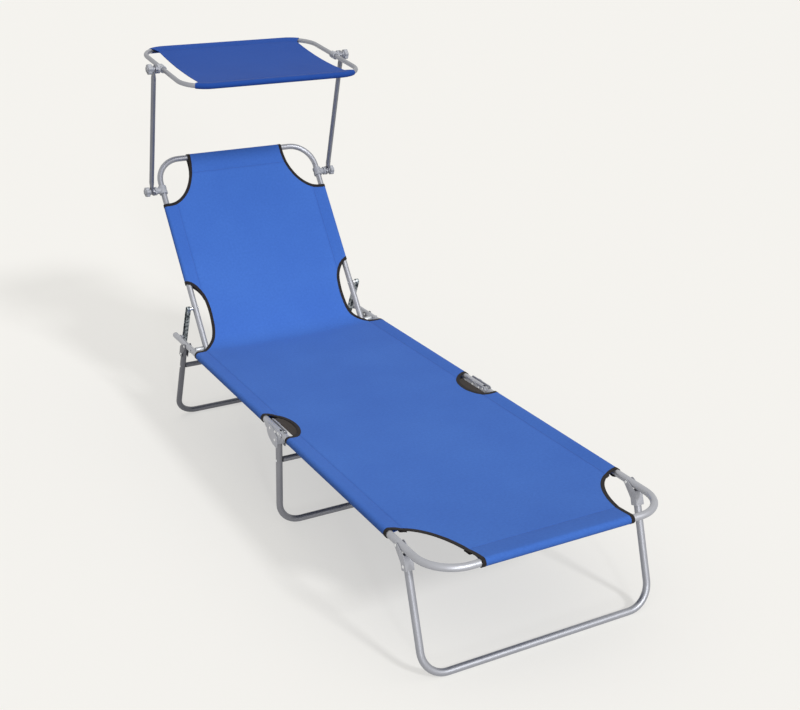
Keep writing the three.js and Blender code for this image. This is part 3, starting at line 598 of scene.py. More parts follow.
for name, leg in legs.items():
    lean, offset, body = math.radians(leg["lean"]), leg["offset"], name + "_leg"
    place = (seatPlace @ along(leg["pivot"]) @ turnX(-lean * math.cos(leg["turn"]))
             @ Matrix.Rotation(leg["turn"], 4, "Z"))
    top = max(legReach(legTube["top"], offset + edge, lean) for edge in (-tube, tube))
    flat = tube * math.cos(pi / 12)  # the model's 12-sided tube stands on one of its flats
    bottom = legReach(lounger["seatHeight"] - flat, offset, lean)
    legFrame = bentTube([(-half, -offset, -top), (-half, -offset, -bottom),
                         (half, -offset, -bottom), (half, -offset, -top)], tube, legTube["bend"])
    finish(legFrame, name + "Leg", place, leg["paint"], body, [body])

    # A rivet holds the socket on the leg, and one holds each end of the crossbar
    socketAt = (-offset, socketRivet["rise"] - legReach(leg["socket"], offset, lean))
    finishPair(legRivet(socketRivet, leg["plates"] + fit, socketAt), name + "SocketRivet",
               place, brightSteel, body)
    if name != "foot":
        barDrop = legReach(legTube["crossbarDrop"], offset, lean)
        crossbar = bentTube([(-seatInner, -offset, -barDrop), (seatInner, -offset, -barDrop)],
                            legTube["crossbar"])
        finish(crossbar, name + "Crossbar", place, leg["paint"], body,
               [body + "_crossbar"])
        finishPair(legRivet(barRivet, barRivet["seat"], (-offset, -barDrop)),
                   name + "CrossbarRivet", place, brightSteel, body)
    for title, side, sign in sides:
        yoke = formedFrom(f"{body}_yoke_{side}", legTube["yokeEdge"],
                          cheekPlates(sign) if name == "mid" else ())
        finish(yoke, name + "Yoke" + title, metres, leg["yokePaint"], body,
               [f"{body}_yoke_{side}"])
print("legs made")


# Rivets and bolts stand where the model's own do, with domed heads
rivet = {"shank": 2, "head": 3.6, "high": 1.6}
bolt = {"shank": 3, "head": 5.5, "high": 2.4}
rivetBodies = {
    "foot_leg_pivot": "foot_leg", "mid_leg_pivot": "mid_leg", "rear_leg_pivot": "rear_leg",
    "foot_fold_pin": "seat", "hinge_plate_rivet": "seat",
}


def domedPin(node, size, material, name, body):
    low, high = nodeBox(node)
    at = ((low.y + high.y) / 2, (low.z + high.z) / 2)
    left = dome(low.x + size["high"], -1, size["head"], size["high"])[::-1]
    right = dome(high.x - size["high"], 1, size["head"], size["high"])
    shank = [(left[-1][0], size["shank"]), (right[0][0], size["shank"])]
    finish(turned(left + shank + right, at, 22), name, metres, material, body,
           [node])


for title, side, _ in sides:
    for node, body in rivetBodies.items():
        first, *others = node.split("_")
        name = first + "".join(word.title() for word in others) + title
        domedPin(f"{node}_{side}", rivet, brightSteel, name, body)
    domedPin(f"back_pivot_bolt_{side}", bolt, zincSteel, "backPivotBolt" + title, "seat")


# A turned profile with both its rims bevelled
def rimmed(nearX, farX, radius, edge, drop):
    return [(nearX, radius - drop), (nearX + edge, radius), (farX - edge, radius),
            (farX, radius - drop)]


# Spacer tube between the back and the seat, and a domed plug in the seat tube's end
spacer = {"radius": 7, "edge": 0.6, "drop": 0.4}
plug = {"long": 18, "radius": 6.1, "lead": 1, "leadDrop": 0.5, "dome": 5}
spacerTube = turned(rimmed(backOuter, seatInner, spacer["radius"], spacer["edge"],
                           spacer["drop"]), (lounger["hip"], 0))
finishPair(spacerTube, "pivotSpacer", seatPlace, zincSteel, "seat",
           "pivot_spacer_{}")
endPlug = turned([(-plug["long"], plug["radius"] - plug["leadDrop"]),
                  (plug["lead"] - plug["long"], plug["radius"]), (0, plug["radius"]),
                  *dome(0, 1, tube, plug["dome"], 7)])
endPlug.data.transform(Matrix.Translation((half, lounger["seatTubeEnd"] + fit, 0))
                       @ Matrix.Rotation(pi / 2, 4, "Z"))
finishPair(endPlug, "seatTubePlug", seatPlace, darkPlastic, "seat",
           "seat_tube_plug_{}")
print("pins and plugs made")


# Fold hinge: two pressed plates each side with a raised bead, and the tongue between them
plates = {
    "thickness": 1.5, "half": 9, "from": 699, "to": 794, "bead": 3.2, "beadSlope": 0.8,
    "beadHeight": 0.2, "edge": 0.3, "tongueEdge": 0.35,
}
for place, outward in (("Outer", 1), ("Inner", -1)):
    near = half + outward * (tube + fit)
    far = near + outward * plates["thickness"]
    plate = block((min(near, far), plates["from"], -plates["half"]),
                  (max(near, far), plates["to"], plates["half"]))
    pick(plate, "EDGE", lambda a, b: abs(a.x - b.x) > 1)
    # Each end is rounded by just under half the width, so that its two corners don't meet
    bpy.ops.mesh.bevel(offset=plates["half"] - 0.01, segments=10, affect="EDGES")
    objectMode()
    tidyNormals(plate, 0.05)
    pick(plate, "FACE", lambda c, n: n.x * outward > 0.9)
    bpy.ops.mesh.inset(thickness=plates["bead"])
    bpy.ops.mesh.inset(thickness=plates["beadSlope"])
    bpy.ops.transform.translate(value=(outward * plates["beadHeight"], 0, 0))
    objectMode()
    roundEdges(plate, plates["edge"])
    finishPair(plate, "hingePlate" + place, seatPlace, silverPaint, "seat",
               "hinge_plate_" + place.lower() + "_{}")
for title, side, _ in sides:
    tongue = formedFrom(f"foot_hinge_tongue_{side}", plates["tongueEdge"])
    finish(tongue, "foldTongue" + title, metres, zincSteel, "foot_section",
           [f"foot_hinge_tongue_{side}"])

# Recline struts: pressed trays hung from the back, folded about twice as deep as the model's
strut = {"across": 259.5, "deeper": 2, "edge": 0.3}
for title, side, sign in sides:
    tray = formedFrom(f"recline_strut_{side}", strut["edge"])
    middle = sign * strut["across"]
    for vertex in tray.data.vertices:
        vertex.co.x = middle + (vertex.co.x - middle) * strut["deeper"]
    finish(tray, "reclineStrut" + title, metres, strutPaintedReflectionSteel, "strut_" + side,
           [f"recline_strut_{side}"])

# Each strut has a keeper on its seat tube: a small plate with a boss
keeper = {
    "at": 1447, "half": 9, "high": 4.5, "plate": 1.5, "edge": 0.6,
    "boss": 5.2, "bossEnd": 261.3, "bossLead": 0.8, "bossSunk": 0.2,
}
base = block((seatInner - keeper["plate"], keeper["at"] - keeper["half"], -keeper["high"]),
             (seatInner, keeper["at"] + keeper["half"], keeper["high"]), keeper["edge"], 3)
boss = turned([(keeper["bossEnd"], keeper["boss"] - keeper["bossLead"]),
               (keeper["bossEnd"] + keeper["bossLead"], keeper["boss"]),
               (seatInner - keeper["bossSunk"], keeper["boss"])], (keeper["at"], 0), 24)
boolean(base, boss, "UNION")
finishPair(base, "strutKeeper", seatPlace, greyPlastic, "seat",
           "strut_keeper_{}")

# And a pivot through the back's tube, with a collar between tube and tray
strutPin = {"at": 118, "collar": 5, "collarEnd": 254.2, "headFrom": 256.9}
collarEnd, headFrom = strutPin["collarEnd"], strutPin["headFrom"]
pivot = turned([*dome(backInner, -1, rivet["head"], rivet["high"])[::-1],
                (backInner, rivet["shank"]), (backOuter, rivet["shank"]),
                (backOuter, strutPin["collar"]), (collarEnd, strutPin["collar"]),
                (collarEnd, rivet["shank"]), (headFrom, rivet["shank"]),
                *dome(headFrom, 1, rivet["head"], rivet["high"])], (strutPin["at"], 0), 22)
finishPair(pivot, "strutPivot", backPlace, brightSteel, "back", "strut_pivot_{}")
print("hinges and struts made")


# Canopy frame, poles, toothed joints, clamps and knobs
canopy = {
    "hub": 473, "pole": 366.7, "poleLean": 107.95, "tilt": 7.5, "poleAcross": 272,
    "half": 250, "depth": 190, "bend": 70, "tube": 6, "tubeSeam": 0.25,
}
poleLean, tilt = math.radians(canopy["poleLean"]), math.radians(canopy["tilt"])
armPlace = backPlace @ along(canopy["hub"]) @ turnX(poleLean - recline)
canopyPlace = armPlace @ along(canopy["pole"]) @ turnX(tilt - poleLean)

canopyHalf, canopyDepth, tubeSeam = canopy["half"], canopy["depth"], canopy["tubeSeam"]
canopyFrame = bentTube([(tubeSeam, canopyDepth, 0), (canopyHalf, canopyDepth, 0),
                        (canopyHalf, -canopyDepth, 0), (-canopyHalf, -canopyDepth, 0),
                        (-canopyHalf, canopyDepth, 0), (-tubeSeam, canopyDepth, 0)],
                       canopy["tube"], canopy["bend"], ringSides=24)
finish(canopyFrame, "canopyFrame", canopyPlace, frameShadedPaint, "canopy",
       ["canopy_frame"])

# Pole: round tube, hammered flat to an eye at each end.
# Stations are (distance from the hub, half width, half thickness).
eyeStations = [
    (-8.3, 1.8, 2.5), (-7.4, 4.2, 2.5), (-5.2, 6.7, 2.5), (-2.6, 8.1, 2.5), (0, 8.5, 2.5),
    (12, 8.5, 2.5), (16, 8.4, 3.0), (20, 8.0, 3.9), (24, 7.4, 5.0), (29, 6.8, 6.0),
    (34, 6.5, 6.5),
]
stations = eyeStations + [(canopy["pole"] - y, w, t) for y, w, t in reversed(eyeStations)]
poleBody = turned([(y, w) for y, w, _ in stations], ringSides=32)
poleBody.data.transform(Matrix.Rotation(pi / 2, 4, "Z"))
for vertex in poleBody.data.vertices:
    thickness = next(t for y, _, t in stations if abs(y - vertex.co.y) < 0.01)
    vertex.co.x = max(-thickness, min(thickness, vertex.co.x)) + canopy["poleAcross"]

# Toothed joint: one disc belongs to the clamp, and the pole's stands against it
disc = {
    "radius": 12, "edge": 0.6, "teeth": 10, "toothShare": 0.05,
    "clampFrom": 257.2, "clampTo": 263.2, "poleFrom": 263.5, "poleTo": 269.8,
}


def toothedDisc(nearX, farX, at):
    wheel = turned(rimmed(nearX, farX, disc["radius"], disc["edge"], disc["edge"]), at, 60)
    for vertex in wheel.data.vertices:
        y, z = vertex.co.y - at[0], vertex.co.z - at[1]
        share = 1 - disc["toothShare"] * (1 - math.cos(disc["teeth"] * math.atan2(z, y)))
        vertex.co.y, vertex.co.z = at[0] + y * share, at[1] + z * share
    return wheel


poleDiscs = [toothedDisc(disc["poleFrom"], disc["poleTo"], (y, 0)) for y in (0, canopy["pole"])]
poleBody = joinPieces(poleBody, *poleDiscs)
finishPair(poleBody, "canopyPole", armPlace, poleShadedPaint, "canopy_arms",
           "canopy_pole_{}")

clamp = {
    "wall": 3.8, "half": 12, "rim": 1, "waist": 2.6, "waistEdge": 0.6, "waistDrop": 0.7,
    "boss": 9, "bossFrom": 2, "bossTo": 258, "boreHalf": 20,
    "slitHalf": 0.6, "slitReach": 14, "slitOut": 2,
}


# A clamp round a tube that runs along Y, with its boss and the fixed half of the toothed joint
def clampRound(tubeRadius, across, y):
    outer, end, waist = tubeRadius + clamp["wall"], clamp["half"], clamp["waist"]
    waistOuter, waistRim = outer - clamp["waistDrop"], waist + clamp["waistEdge"]
    place = Matrix.Translation((across, y, 0)) @ Matrix.Rotation(pi / 2, 4, "Z")
    band = turned([(-end, outer - clamp["rim"]), (clamp["rim"] - end, outer), (-waistRim, outer),
                   (-waist, waistOuter), (waist, waistOuter), (waistRim, outer),
                   (end - clamp["rim"], outer), (end, outer - clamp["rim"])])
    band.data.transform(place)
    boss = turned([(across + clamp["bossFrom"], clamp["boss"]), (clamp["bossTo"], clamp["boss"])],
                  (y, 0))
    boolean(band, boss, "UNION")
    boolean(band, toothedDisc(disc["clampFrom"], disc["clampTo"], (y, 0)), "UNION")
    bore = turned([(reach, tubeRadius + fit) for reach in (-clamp["boreHalf"], clamp["boreHalf"])])
    bore.data.transform(place)
    boolean(band, bore, "DIFFERENCE")
    slit, slitReach = clamp["slitHalf"], clamp["slitReach"]
    boolean(band, block((across - outer - clamp["slitOut"], y - slitReach, -slit),
                        (across - tubeRadius, y + slitReach, slit)), "DIFFERENCE")
    return band


finishPair(clampRound(tube, backHalf, canopy["hub"]), "lowerClamp", backPlace, greyPlastic,
           "back", "canopy_clamp_lower_{}")
finishPair(clampRound(canopy["tube"], canopyHalf, 0), "upperClamp", canopyPlace, greyPlastic,
           "canopy", "canopy_clamp_upper_{}")

# Hand knobs: the profile is (distance from the knob's near face, radius), and the part of it
# beyond the neck swings in and out as lobes. Each stud ends at its tip.
knob = {
    "start": 274.8, "radius": 13.2, "lobes": 6, "swing": 1.2, "neck": 3.4, "core": 10.5,
    "profile": [(0, 8.4), (0.6, 9), (3.2, 9), (3.5, 11.6), (4.6, 13.2), (13.4, 13.2),
                (14.7, 11.8), (15, 9.2), (16.6, 8.6), (17.8, 6.5), (18.3, 3)],
    "stud": 3, "studLead": (0.5, 0.4), "lowerTip": 248.5, "upperTip": 257.5,
}
for place, y in (("lower", 0), ("upper", canopy["pole"])):
    x, tip, (lead, leadDrop) = knob["start"], knob[place + "Tip"], knob["studLead"]
    handle = turned([(x + out, radius) for out, radius in knob["profile"]], (y, 0), 72)
    for vertex in handle.data.vertices:
        up, side = vertex.co.y - y, vertex.co.z
        if vertex.co.x > x + knob["neck"] and math.hypot(up, side) > knob["core"]:
            lobe = math.cos(knob["lobes"] * math.atan2(side, up))
            share = 1 + knob["swing"] / knob["radius"] * lobe
            vertex.co.y, vertex.co.z = y + up * share, side * share
    stud = turned([(tip, knob["stud"] - leadDrop), (tip + lead, knob["stud"]),
                   (x + fit, knob["stud"])], (y, 0), 16)
    handle = joinPieces(handle, stud)
    finishPair(handle, place + "Knob", armPlace, greyPlastic, f"knob_{place}_{{}}",
               f"canopy_knob_{place}_{{}}")
print("canopy frame made")


# Cloth. A sheet is a grid of columns across and rows along, laid out flat as (across, along,
# height). Insets count inwards from the tubes' axes, and the groove from its seam.
cloth = {
    "thickness": 1.2, "rise": 3.5, "sag": 8, "sagRun": 260, "ripple": 0.25, "hipBend": 70,
    "sideInset": 27, "barInset": 45, "hem": 7, "hemGap": 2.7, "loop": 9.0,
    "groove": 0.55, "grooveAt": 3, "grooveWidth": 1.3, "seamSteps": (1.5, 3, 4.5, 6.5, 8.5, 12),
    "columns": 40, "rowPitch": 11, "split": 1010, "narrowFrom": 1350, "narrowTo": 1490,
    "barSleeveHalf": 206, "sleeveFrom": 100, "sleeveShort": 90, "foldReach": 20, "hipReach": 40,
}
slingEnd = lounger["hip"] + lounger["backLength"]


def ramp(value, low, high):
    share = min(1.0, max(0.0, (value - low) / (high - low)))
    return share * share * (3 - 2 * share)


# Half the width between the side tubes: the seat's, easing to the back's past the hip's cut-out
def widthAt(s):
    return half - (half - backHalf) * ramp(s, cloth["narrowFrom"], cloth["narrowTo"])


# How far inside the nearer end bar's sewn line a place along lies
def barDistance(s):
    return min(s - cloth["barInset"], slingEnd - cloth["barInset"] - s)


# How far inside the nearest sewn line a point of the flat sheet lies
def seamDistance(x, s):
    return min(widthAt(s) - cloth["sideInset"] - abs(x), barDistance(s))


# How deep a seam's groove is at a distance inside its sewn line
def grooveAt(distance):
    away = (distance - cloth["grooveAt"]) / cloth["grooveWidth"]
    return cloth["groove"] * math.exp(-away ** 2)


def sheetHeight(x, s):
    seam = widthAt(s) - cloth["sideInset"]
    across = max(0.0, 1 - (x / seam) ** 2)
    grip = min(1.0, max(0.0, barDistance(s) / cloth["sagRun"]))
    ripple = cloth["ripple"] * math.sin(s / 61 + x / 47) * math.sin(s / 37 - x / 83)
    sag = cloth["sag"] * math.sin(grip * pi / 2)
    return cloth["rise"] - across * (sag + ripple) - grooveAt(seamDistance(x, s))


# A sleeve's outline as (distance inside its tube's axis, height), from its hem round to its seam
def sleeveOutline(inset, rise, loop, hem, steps=16):
    tip = Vector((inset, rise))
    lean, spread = math.atan2(rise, inset), math.acos(loop / tip.length)
    under = rise - cloth["hemGap"]
    points = [(inset + hem, under), (inset, under)]
    low = lean - spread
    points.append((0.5 * (inset + loop * math.cos(low)), 0.5 * (under + loop * math.sin(low))))
    for k in range(steps + 1):
        angle = low - (2 * pi - 2 * spread) * k / steps
        points.append((loop * math.cos(angle), loop * math.sin(angle)))
    last = points[-1]
    bulge = 0.25  # the cloth arches a little between tube and seam
    for share in (0.33, 0.67):
        points.append((last[0] + (inset - last[0]) * share,
                       last[1] + (rise - last[1]) * share + bulge))
    return points


sideSleeve, barSleeve = (
    sleeveOutline(cloth[inset], cloth["rise"], cloth["loop"], cloth["hem"])
    for inset in ("sideInset", "barInset"))


def lengths(points):
    total = [0.0]
    for a, b in zip(points, points[1:]):
        total.append(total[-1] + math.dist(a, b))
    return total


# The sling's path seen from the side: along the seat, round the hip, up the back
def laid(x, s, h):
    radius = cloth["hipBend"]
    reach = radius * math.tan(recline / 2)
    past = s - lounger["hip"]
    if past <= -reach:
        return Vector((x, s, h))
    if past >= reach:
        angle, point = recline, Vector((0, past * math.cos(recline), past * math.sin(recline)))
    else:
        angle = recline * (past + reach) / (2 * reach)
        point = Vector((0, -reach + radius * math.sin(angle), radius - radius * math.cos(angle)))
    return Vector((x, lounger["hip"] + point.y - h * math.sin(angle),
                   point.z + h * math.cos(angle)))


# Two maps in metres: along the threads, and inwards from the nearest sewn line
def mapThreads(mesh, threads, seams):
    for name, places in (("threads", threads), ("seams", seams)):
        layer = mesh.uv_layers.new(name=name)
        for loop in mesh.loops:
            layer.data[loop.index].uv = places[loop.vertex_index]


# Faces between the neighbours of a grid whose points are listed by (column, row)
def gridFaces(index, columnCount, rowCount):
    faces = []
    for j in range(rowCount - 1):
        for i in range(columnCount - 1):
            corners = [(i, j), (i + 1, j), (i + 1, j + 1), (i, j + 1)]
            if all(corner in index for corner in corners):
                faces.append([index[corner] for corner in corners])
    return faces


# Builds one part of the sling, flat: rows are ("foot" or "head", index in the bar's sleeve) or
# ("along", place), and columns are ("left" or "right", index in the side's sleeve) or ("sheet",
# share of the half width)
def slingSheet(name, fromS, toS, footBar, headBar):
    steps, between = cloth["seamSteps"], cloth["columns"]
    beside = [1 - d / (half - cloth["sideInset"]) for d in (0, *steps)]
    shares = [-share for share in beside]
    shares += [beside[-1] * (2 * k / between - 1) for k in range(1, between)] + beside[::-1]
    columns = [("left", k) for k in range(len(sideSleeve))]
    columns += [("sheet", share) for share in shares]
    columns += [("right", k) for k in reversed(range(len(sideSleeve)))]
    count = round((toS - fromS) / cloth["rowPitch"])
    spots = [fromS + (toS - fromS) * k / count for k in range(count + 1)]
    if footBar:
        spots[1:2] = [fromS + d for d in steps]
    if headBar:
        spots[-2:-1] = [toS - d for d in reversed(steps)]
    rows = [("along", s) for s in spots]
    if footBar:
        rows = [("foot", k) for k in range(len(barSleeve))] + rows
    if headBar:
        rows += [("head", k) for k in reversed(range(len(barSleeve)))]
    sideRun = lengths(sideSleeve + [(cloth["sideInset"], cloth["rise"])])
    barRun = lengths(barSleeve + [(cloth["barInset"], cloth["rise"])])
    points, threads, seams, index = [], [], [], {}
    for j, (rowKind, row) in enumerate(rows):
        for i, (columnKind, column) in enumerate(columns):
            s = row if rowKind == "along" else (fromS if rowKind == "foot" else toS)
            width = widthAt(s)
            seam = width - cloth["sideInset"]
            if rowKind != "along":
                if columnKind != "sheet" or abs(column * seam) > cloth["barSleeveHalf"]:
                    continue
                inset, height = barSleeve[row]
                x = column * seam
                s = inset if rowKind == "foot" else slingEnd - inset
                if row < 2:
                    height = sheetHeight(x, s) - cloth["hemGap"]
                v = cloth["barInset"] - barRun[-1] + barRun[row]
                u, v = x, v if rowKind == "foot" else slingEnd - v
            elif columnKind == "sheet":
                x = u = column * seam
                height, v = sheetHeight(x, s), s
            else:
                if not cloth["sleeveFrom"] <= s <= slingEnd - cloth["sleeveShort"]:
                    continue
                sign = -1 if columnKind == "left" else 1
                inset, height = sideSleeve[column]
                x, u, v = sign * (width - inset), sign * (seam + sideRun[-1] - sideRun[column]), s
                if column < 2:
                    height = sheetHeight(x, s) - cloth["hemGap"]
            index[i, j] = len(points)
            points.append((x, s, height))
            threads.append((u * mm, v * mm))
            seams.append((seamDistance(u, v) * mm, 0))
    piece = meshPiece(name, points, gridFaces(index, len(columns), len(rows)))
    mapThreads(piece.data, threads, seams)
    return piece


# Cut-outs, each drawn on the right as (across, along): where the foot frame, the fold hinge, the
# hip and the head bar's bends show
def ellipse(x, s, across, alongHalf, count=96):
    angles = [2 * pi * k / count for k in range(count)]
    return [(x + across * math.cos(a), s + alongHalf * math.sin(a)) for a in angles]


# Half width and half length of each round one, and where the fold hinge's stands
cutOut = {"foot": (100, 180), "joint": (43, 71), "jointAt": 742, "head": (95, 135)}
footCut = ellipse(half, 0, *cutOut["foot"])
jointCut = ellipse(half, cutOut["jointAt"], *cutOut["joint"])
headCut = ellipse(backHalf, slingEnd, *cutOut["head"])
hipCut = smoothLoop([
    (305, 1282), (279, 1289), (262, 1297), (248, 1310), (238, 1322), (227, 1336), (216, 1353),
    (208, 1378), (204.5, 1410), (204.5, 1440), (208, 1468), (216, 1489), (227, 1505),
    (239, 1514), (262, 1522), (300, 1520), (330, 1465), (335, 1400), (330, 1320),
])


# The outline pushed outwards by a distance
def grown(outline, distance):
    middle = sum((Vector(p) for p in outline), Vector((0, 0))) / len(outline)
    pushed = []
    for k, point in enumerate(outline):
        before, after = Vector(outline[k - 1]), Vector(outline[(k + 1) % len(outline)])
        run = (after - before).normalized()
        normal = Vector((run.y, -run.x))
        if normal.dot(Vector(point) - middle) < 0:
            normal = -normal
        pushed.append(tuple(Vector(point) + normal * distance))
    return pushed


# One cutter for some holes on both sides of the sling, each hole grown by a distance
def holeCutter(holes, growth, top=40):
    outlines = []
    for outline in (grown(hole, growth) for hole in holes):
        outlines += [outline, [(-x, s) for x, s in reversed(outline)]]
    return joinPieces(*[cutter(outline, -40, top) for outline in outlines])


# Binding tape folded over each hole's edge: width on the cloth, wrap past its edge, and how far
# it stands above and below the cloth's middle
binding = {"width": 7.5, "wrap": 0.9, "proud": 1.05, "under": 0.85, "edge": 0.35}

# The under layer beside a foot tube is cut back further than the hole, to stay out of sight
underLayer = {"clear": 10.5, "top": -0.6, "back": 9, "long": 400, "deep": 50}


def underCutter(hole):
    reach, clear, deep = half - underLayer["clear"], underLayer["clear"], underLayer["deep"]
    under = holeCutter([hole], underLayer["back"], underLayer["top"])
    boolean(under, block((-reach, clear, -deep), (reach, underLayer["long"], deep)), "INTERSECT")
    return under


# A part of the sling with its holes, and the tape round them
def sewnSling(name, fromS, toS, footBar, headBar, holes):
    sheet = slingSheet(name, fromS, toS, footBar, headBar)
    tape = sheet.copy()
    tape.data = sheet.data.copy()
    bpy.context.scene.collection.objects.link(tape)
    applyModifier(sheet, "SOLIDIFY", {"thickness": cloth["thickness"], "offset": 0})
    boolean(sheet, holeCutter(holes, 0), "DIFFERENCE")
    thick = binding["proud"] + binding["under"]
    applyModifier(tape, "SOLIDIFY", {"thickness": thick,
                                     "offset": (binding["proud"] - binding["under"]) / thick})
    boolean(tape, holeCutter(holes, binding["width"]), "INTERSECT")
    boolean(tape, holeCutter(holes, -binding["wrap"]), "DIFFERENCE")
    if footBar:
        for piece in (sheet, tape):
            boolean(piece, underCutter(holes[0]), "DIFFERENCE")
    roundEdges(tape, binding["edge"], 1, 50)
    for piece in (sheet, tape):
        for vertex in piece.data.vertices:
            vertex.co = laid(*vertex.co)
    finish(sheet, name, seatPlace, clothBlue, None)
    finish(tape, name + "Tape", seatPlace, tapeBlack, None)
    return sheet, tape


split = cloth["split"]
lowerSling, lowerTape = sewnSling("lowerSling", cloth["barInset"], split, True, False,
                                  [footCut, jointCut])
upperSling, upperTape = sewnSling("upperSling", split, slingEnd - cloth["barInset"], False, True,
                                  [hipCut, headCut])
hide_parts("sling_foot", "sling_seat")
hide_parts("sling_seat", "sling_back")

print("sling sewn")


# Canopy cloth: sleeves on the front and rear bars that follow the bends a little, and drawn-in
# free edges
shade = {
    "half": 221, "sleeveInset": 26, "rise": 2, "loop": 6.85, "hem": 7, "draw": 0.5,
    "sag": 6, "edgeSag": 0.15, "ripple": 0.2, "columns": 48, "rows": 30,
}
shadeSleeve = sleeveOutline(shade["sleeveInset"], shade["rise"], shade["loop"], shade["hem"], 14)
canopyStraight = canopyHalf - canopy["bend"]


def barPoint(reachAlong, inset, sign):
    past = max(0.0, abs(reachAlong) - canopyStraight) / canopy["bend"]
    across = min(abs(reachAlong), canopyStraight) + (canopy["bend"] - inset) * math.sin(past)
    depth = canopyDepth - canopy["bend"] + (canopy["bend"] - inset) * math.cos(past)
    return math.copysign(across, reachAlong), sign * depth


# Share runs across from -1 to 1, and row from one bar's seam to the other's
def shadeHeight(share, row):
    sag = shade["sag"] * (1 - row * row) * (1 + shade["edgeSag"] * share * share)
    return shade["rise"] - sag


def canopySheet():
    bend, columnCount, rowCount = canopy["bend"], shade["columns"], shade["rows"]
    edgeReach = canopyStraight + bend * math.asin((shade["half"] - canopyStraight) / bend)
    outline = shadeSleeve + [(shade["sleeveInset"], shade["rise"])]
    run, seamDepth = lengths(outline), canopyDepth - shade["sleeveInset"]
    points, threads, seams, index = [], [], [], {}
    spots = [2 * k / rowCount - 1 for k in range(1, rowCount)]
    beside = [1 - d / seamDepth for d in cloth["seamSteps"][:-1]]
    rows = [(-1, k) for k in range(len(outline))]
    rows += [(0, row) for row in [-row for row in beside] + spots + beside[::-1]]
    rows += [(1, k) for k in reversed(range(len(outline)))]
    for j, (end, row) in enumerate(rows):
        for i in range(columnCount + 1):
            share = 2 * i / columnCount - 1
            reachAlong = share * edgeReach
            if end:
                inset, height = outline[row]
                x, depth = barPoint(reachAlong, inset, end)
                v = end * (seamDepth + run[-1] - run[row])
            else:
                x, depth = barPoint(reachAlong, shade["sleeveInset"], 1)
                x -= shade["draw"] * share * abs(share) * (1 - row * row)
                v = depth = depth * row
                ripple = shade["ripple"] * math.sin(x / 31) * math.sin(depth / 43)
                height = shadeHeight(share, row) - grooveAt(seamDepth - abs(depth)) + ripple
            index[i, j] = len(points)
            points.append((x, depth, height))
            threads.append((reachAlong * mm, v * mm))
            seams.append(((seamDepth - abs(v)) * mm, 0))
    piece = meshPiece("canopyCloth", points, gridFaces(index, columnCount + 1, len(rows)))
    mapThreads(piece.data, threads, seams)
    return piece


canopyCloth = canopySheet()
applyModifier(canopyCloth, "SOLIDIFY", {"thickness": cloth["thickness"], "offset": 0})
finish(canopyCloth, "canopyCloth", canopyPlace, canopyBlue, "canopy",
       ["canopy_fabric"])
print("canopy cloth made")


# Webbing patches under the cut-outs at the fold, shorter along their outer edge
guard = {
    "inner": 224, "outer": 262, "half": 86, "halfOuter": 54, "shoulder": (240, 256),
    "drop": 1.75,
}
for title, side, sign in sides:
    bpy.ops.mesh.primitive_grid_add(x_subdivisions=12, y_subdivisions=40, size=1)
    patch = bpy.context.object
    mesh = patch.data
    for vertex in mesh.vertices:
        across = guard["inner"] + (guard["outer"] - guard["inner"]) * (vertex.co.x + 0.5)
        taper = (guard["halfOuter"] - guard["half"]) * ramp(across, *guard["shoulder"])
        s = cutOut["jointAt"] + 2 * (guard["half"] + taper) * vertex.co.y
        vertex.co = (sign * across, s, sheetHeight(across, s) - guard["drop"])
    layer = mesh.uv_layers[0]
    layer.name = "threads"
    for loop in mesh.loops:
        co = mesh.vertices[loop.vertex_index].co
        layer.data[loop.index].uv = (co.x * mm, co.y * mm)
    if sign < 0:
        mesh.flip_normals()
    applyModifier(patch, "SOLIDIFY", {"thickness": cloth["thickness"], "offset": 0})
    finish(patch, "hingeGuard" + title, seatPlace, guardBrown, None,
           [f"hinge_guard_{side}"])
    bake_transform(patch)


# Sewn seams: short thread stitches, one mesh for each piece of cloth. inside and barInside are
# how far in from the side seams and the bar seams they run.
stitch = {
    "length": 3.0, "pitch": 4.2, "width": 0.45, "height": 0.3, "lift": 0.72,
    "inside": 2, "barInside": 3,
}
bpy.ops.mesh.primitive_uv_sphere_add(segments=6, ring_count=4, radius=1)
oneStitch = bpy.context.object
stitchPoints = [v.co.copy() for v in oneStitch.data.vertices]
stitchFaces = [list(f.vertices) for f in oneStitch.data.polygons]
bpy.data.objects.remove(oneStitch)


# Each run is (start, end) as (across, along); settle turns (across, along, lift) into the point
# on the cloth
def stitchRuns(name, runs, settle):
    points, faces = [], []
    for start, end in runs:
        start, end = Vector(start), Vector(end)
        way = (end - start).normalized()
        aside = Vector((-way.y, way.x))
        for k in range(int((end - start).length / stitch["pitch"])):
            middle = start + way * stitch["pitch"] * (k + 0.5)
            base = len(points)
            for co in stitchPoints:
                spot = middle + way * co.x * stitch["length"] / 2 + aside * co.y * stitch["width"]
                points.append(settle(spot.x, spot.y, stitch["lift"] + co.z * stitch["height"]))
            faces += [[base + i for i in face] for face in stitchFaces]
    return meshPiece(name, points, faces)


def onSling(x, s, lift):
    return laid(x, s, sheetHeight(x, s) + lift)


def onCanopy(x, depth, lift):
    row = depth / (canopyDepth - shade["sleeveInset"])
    return Vector((x, depth, shadeHeight(x / shade["half"], row) + lift))


# Where the runs stop, beside the cut-outs: half lengths across, and places along
barRuns = {"foot": 168, "head": 132, "canopy": 200}
sideRuns = {"foot": (186, 682), "seat": (814, split), "hip": (split, 1288),
            "back": (1516, slingEnd - 142)}
seamX, backSeamX = (width - cloth["sideInset"] - stitch["inside"] for width in (half, backHalf))
barSeam = cloth["barInset"] + stitch["barInside"]
shadeSeam = canopyDepth - shade["sleeveInset"] - stitch["inside"]


# A run across at one place along, or along at one place across
def runAcross(reach, s):
    return (-reach, s), (reach, s)


def runAlong(x, places):
    return tuple((x, s) for s in places)


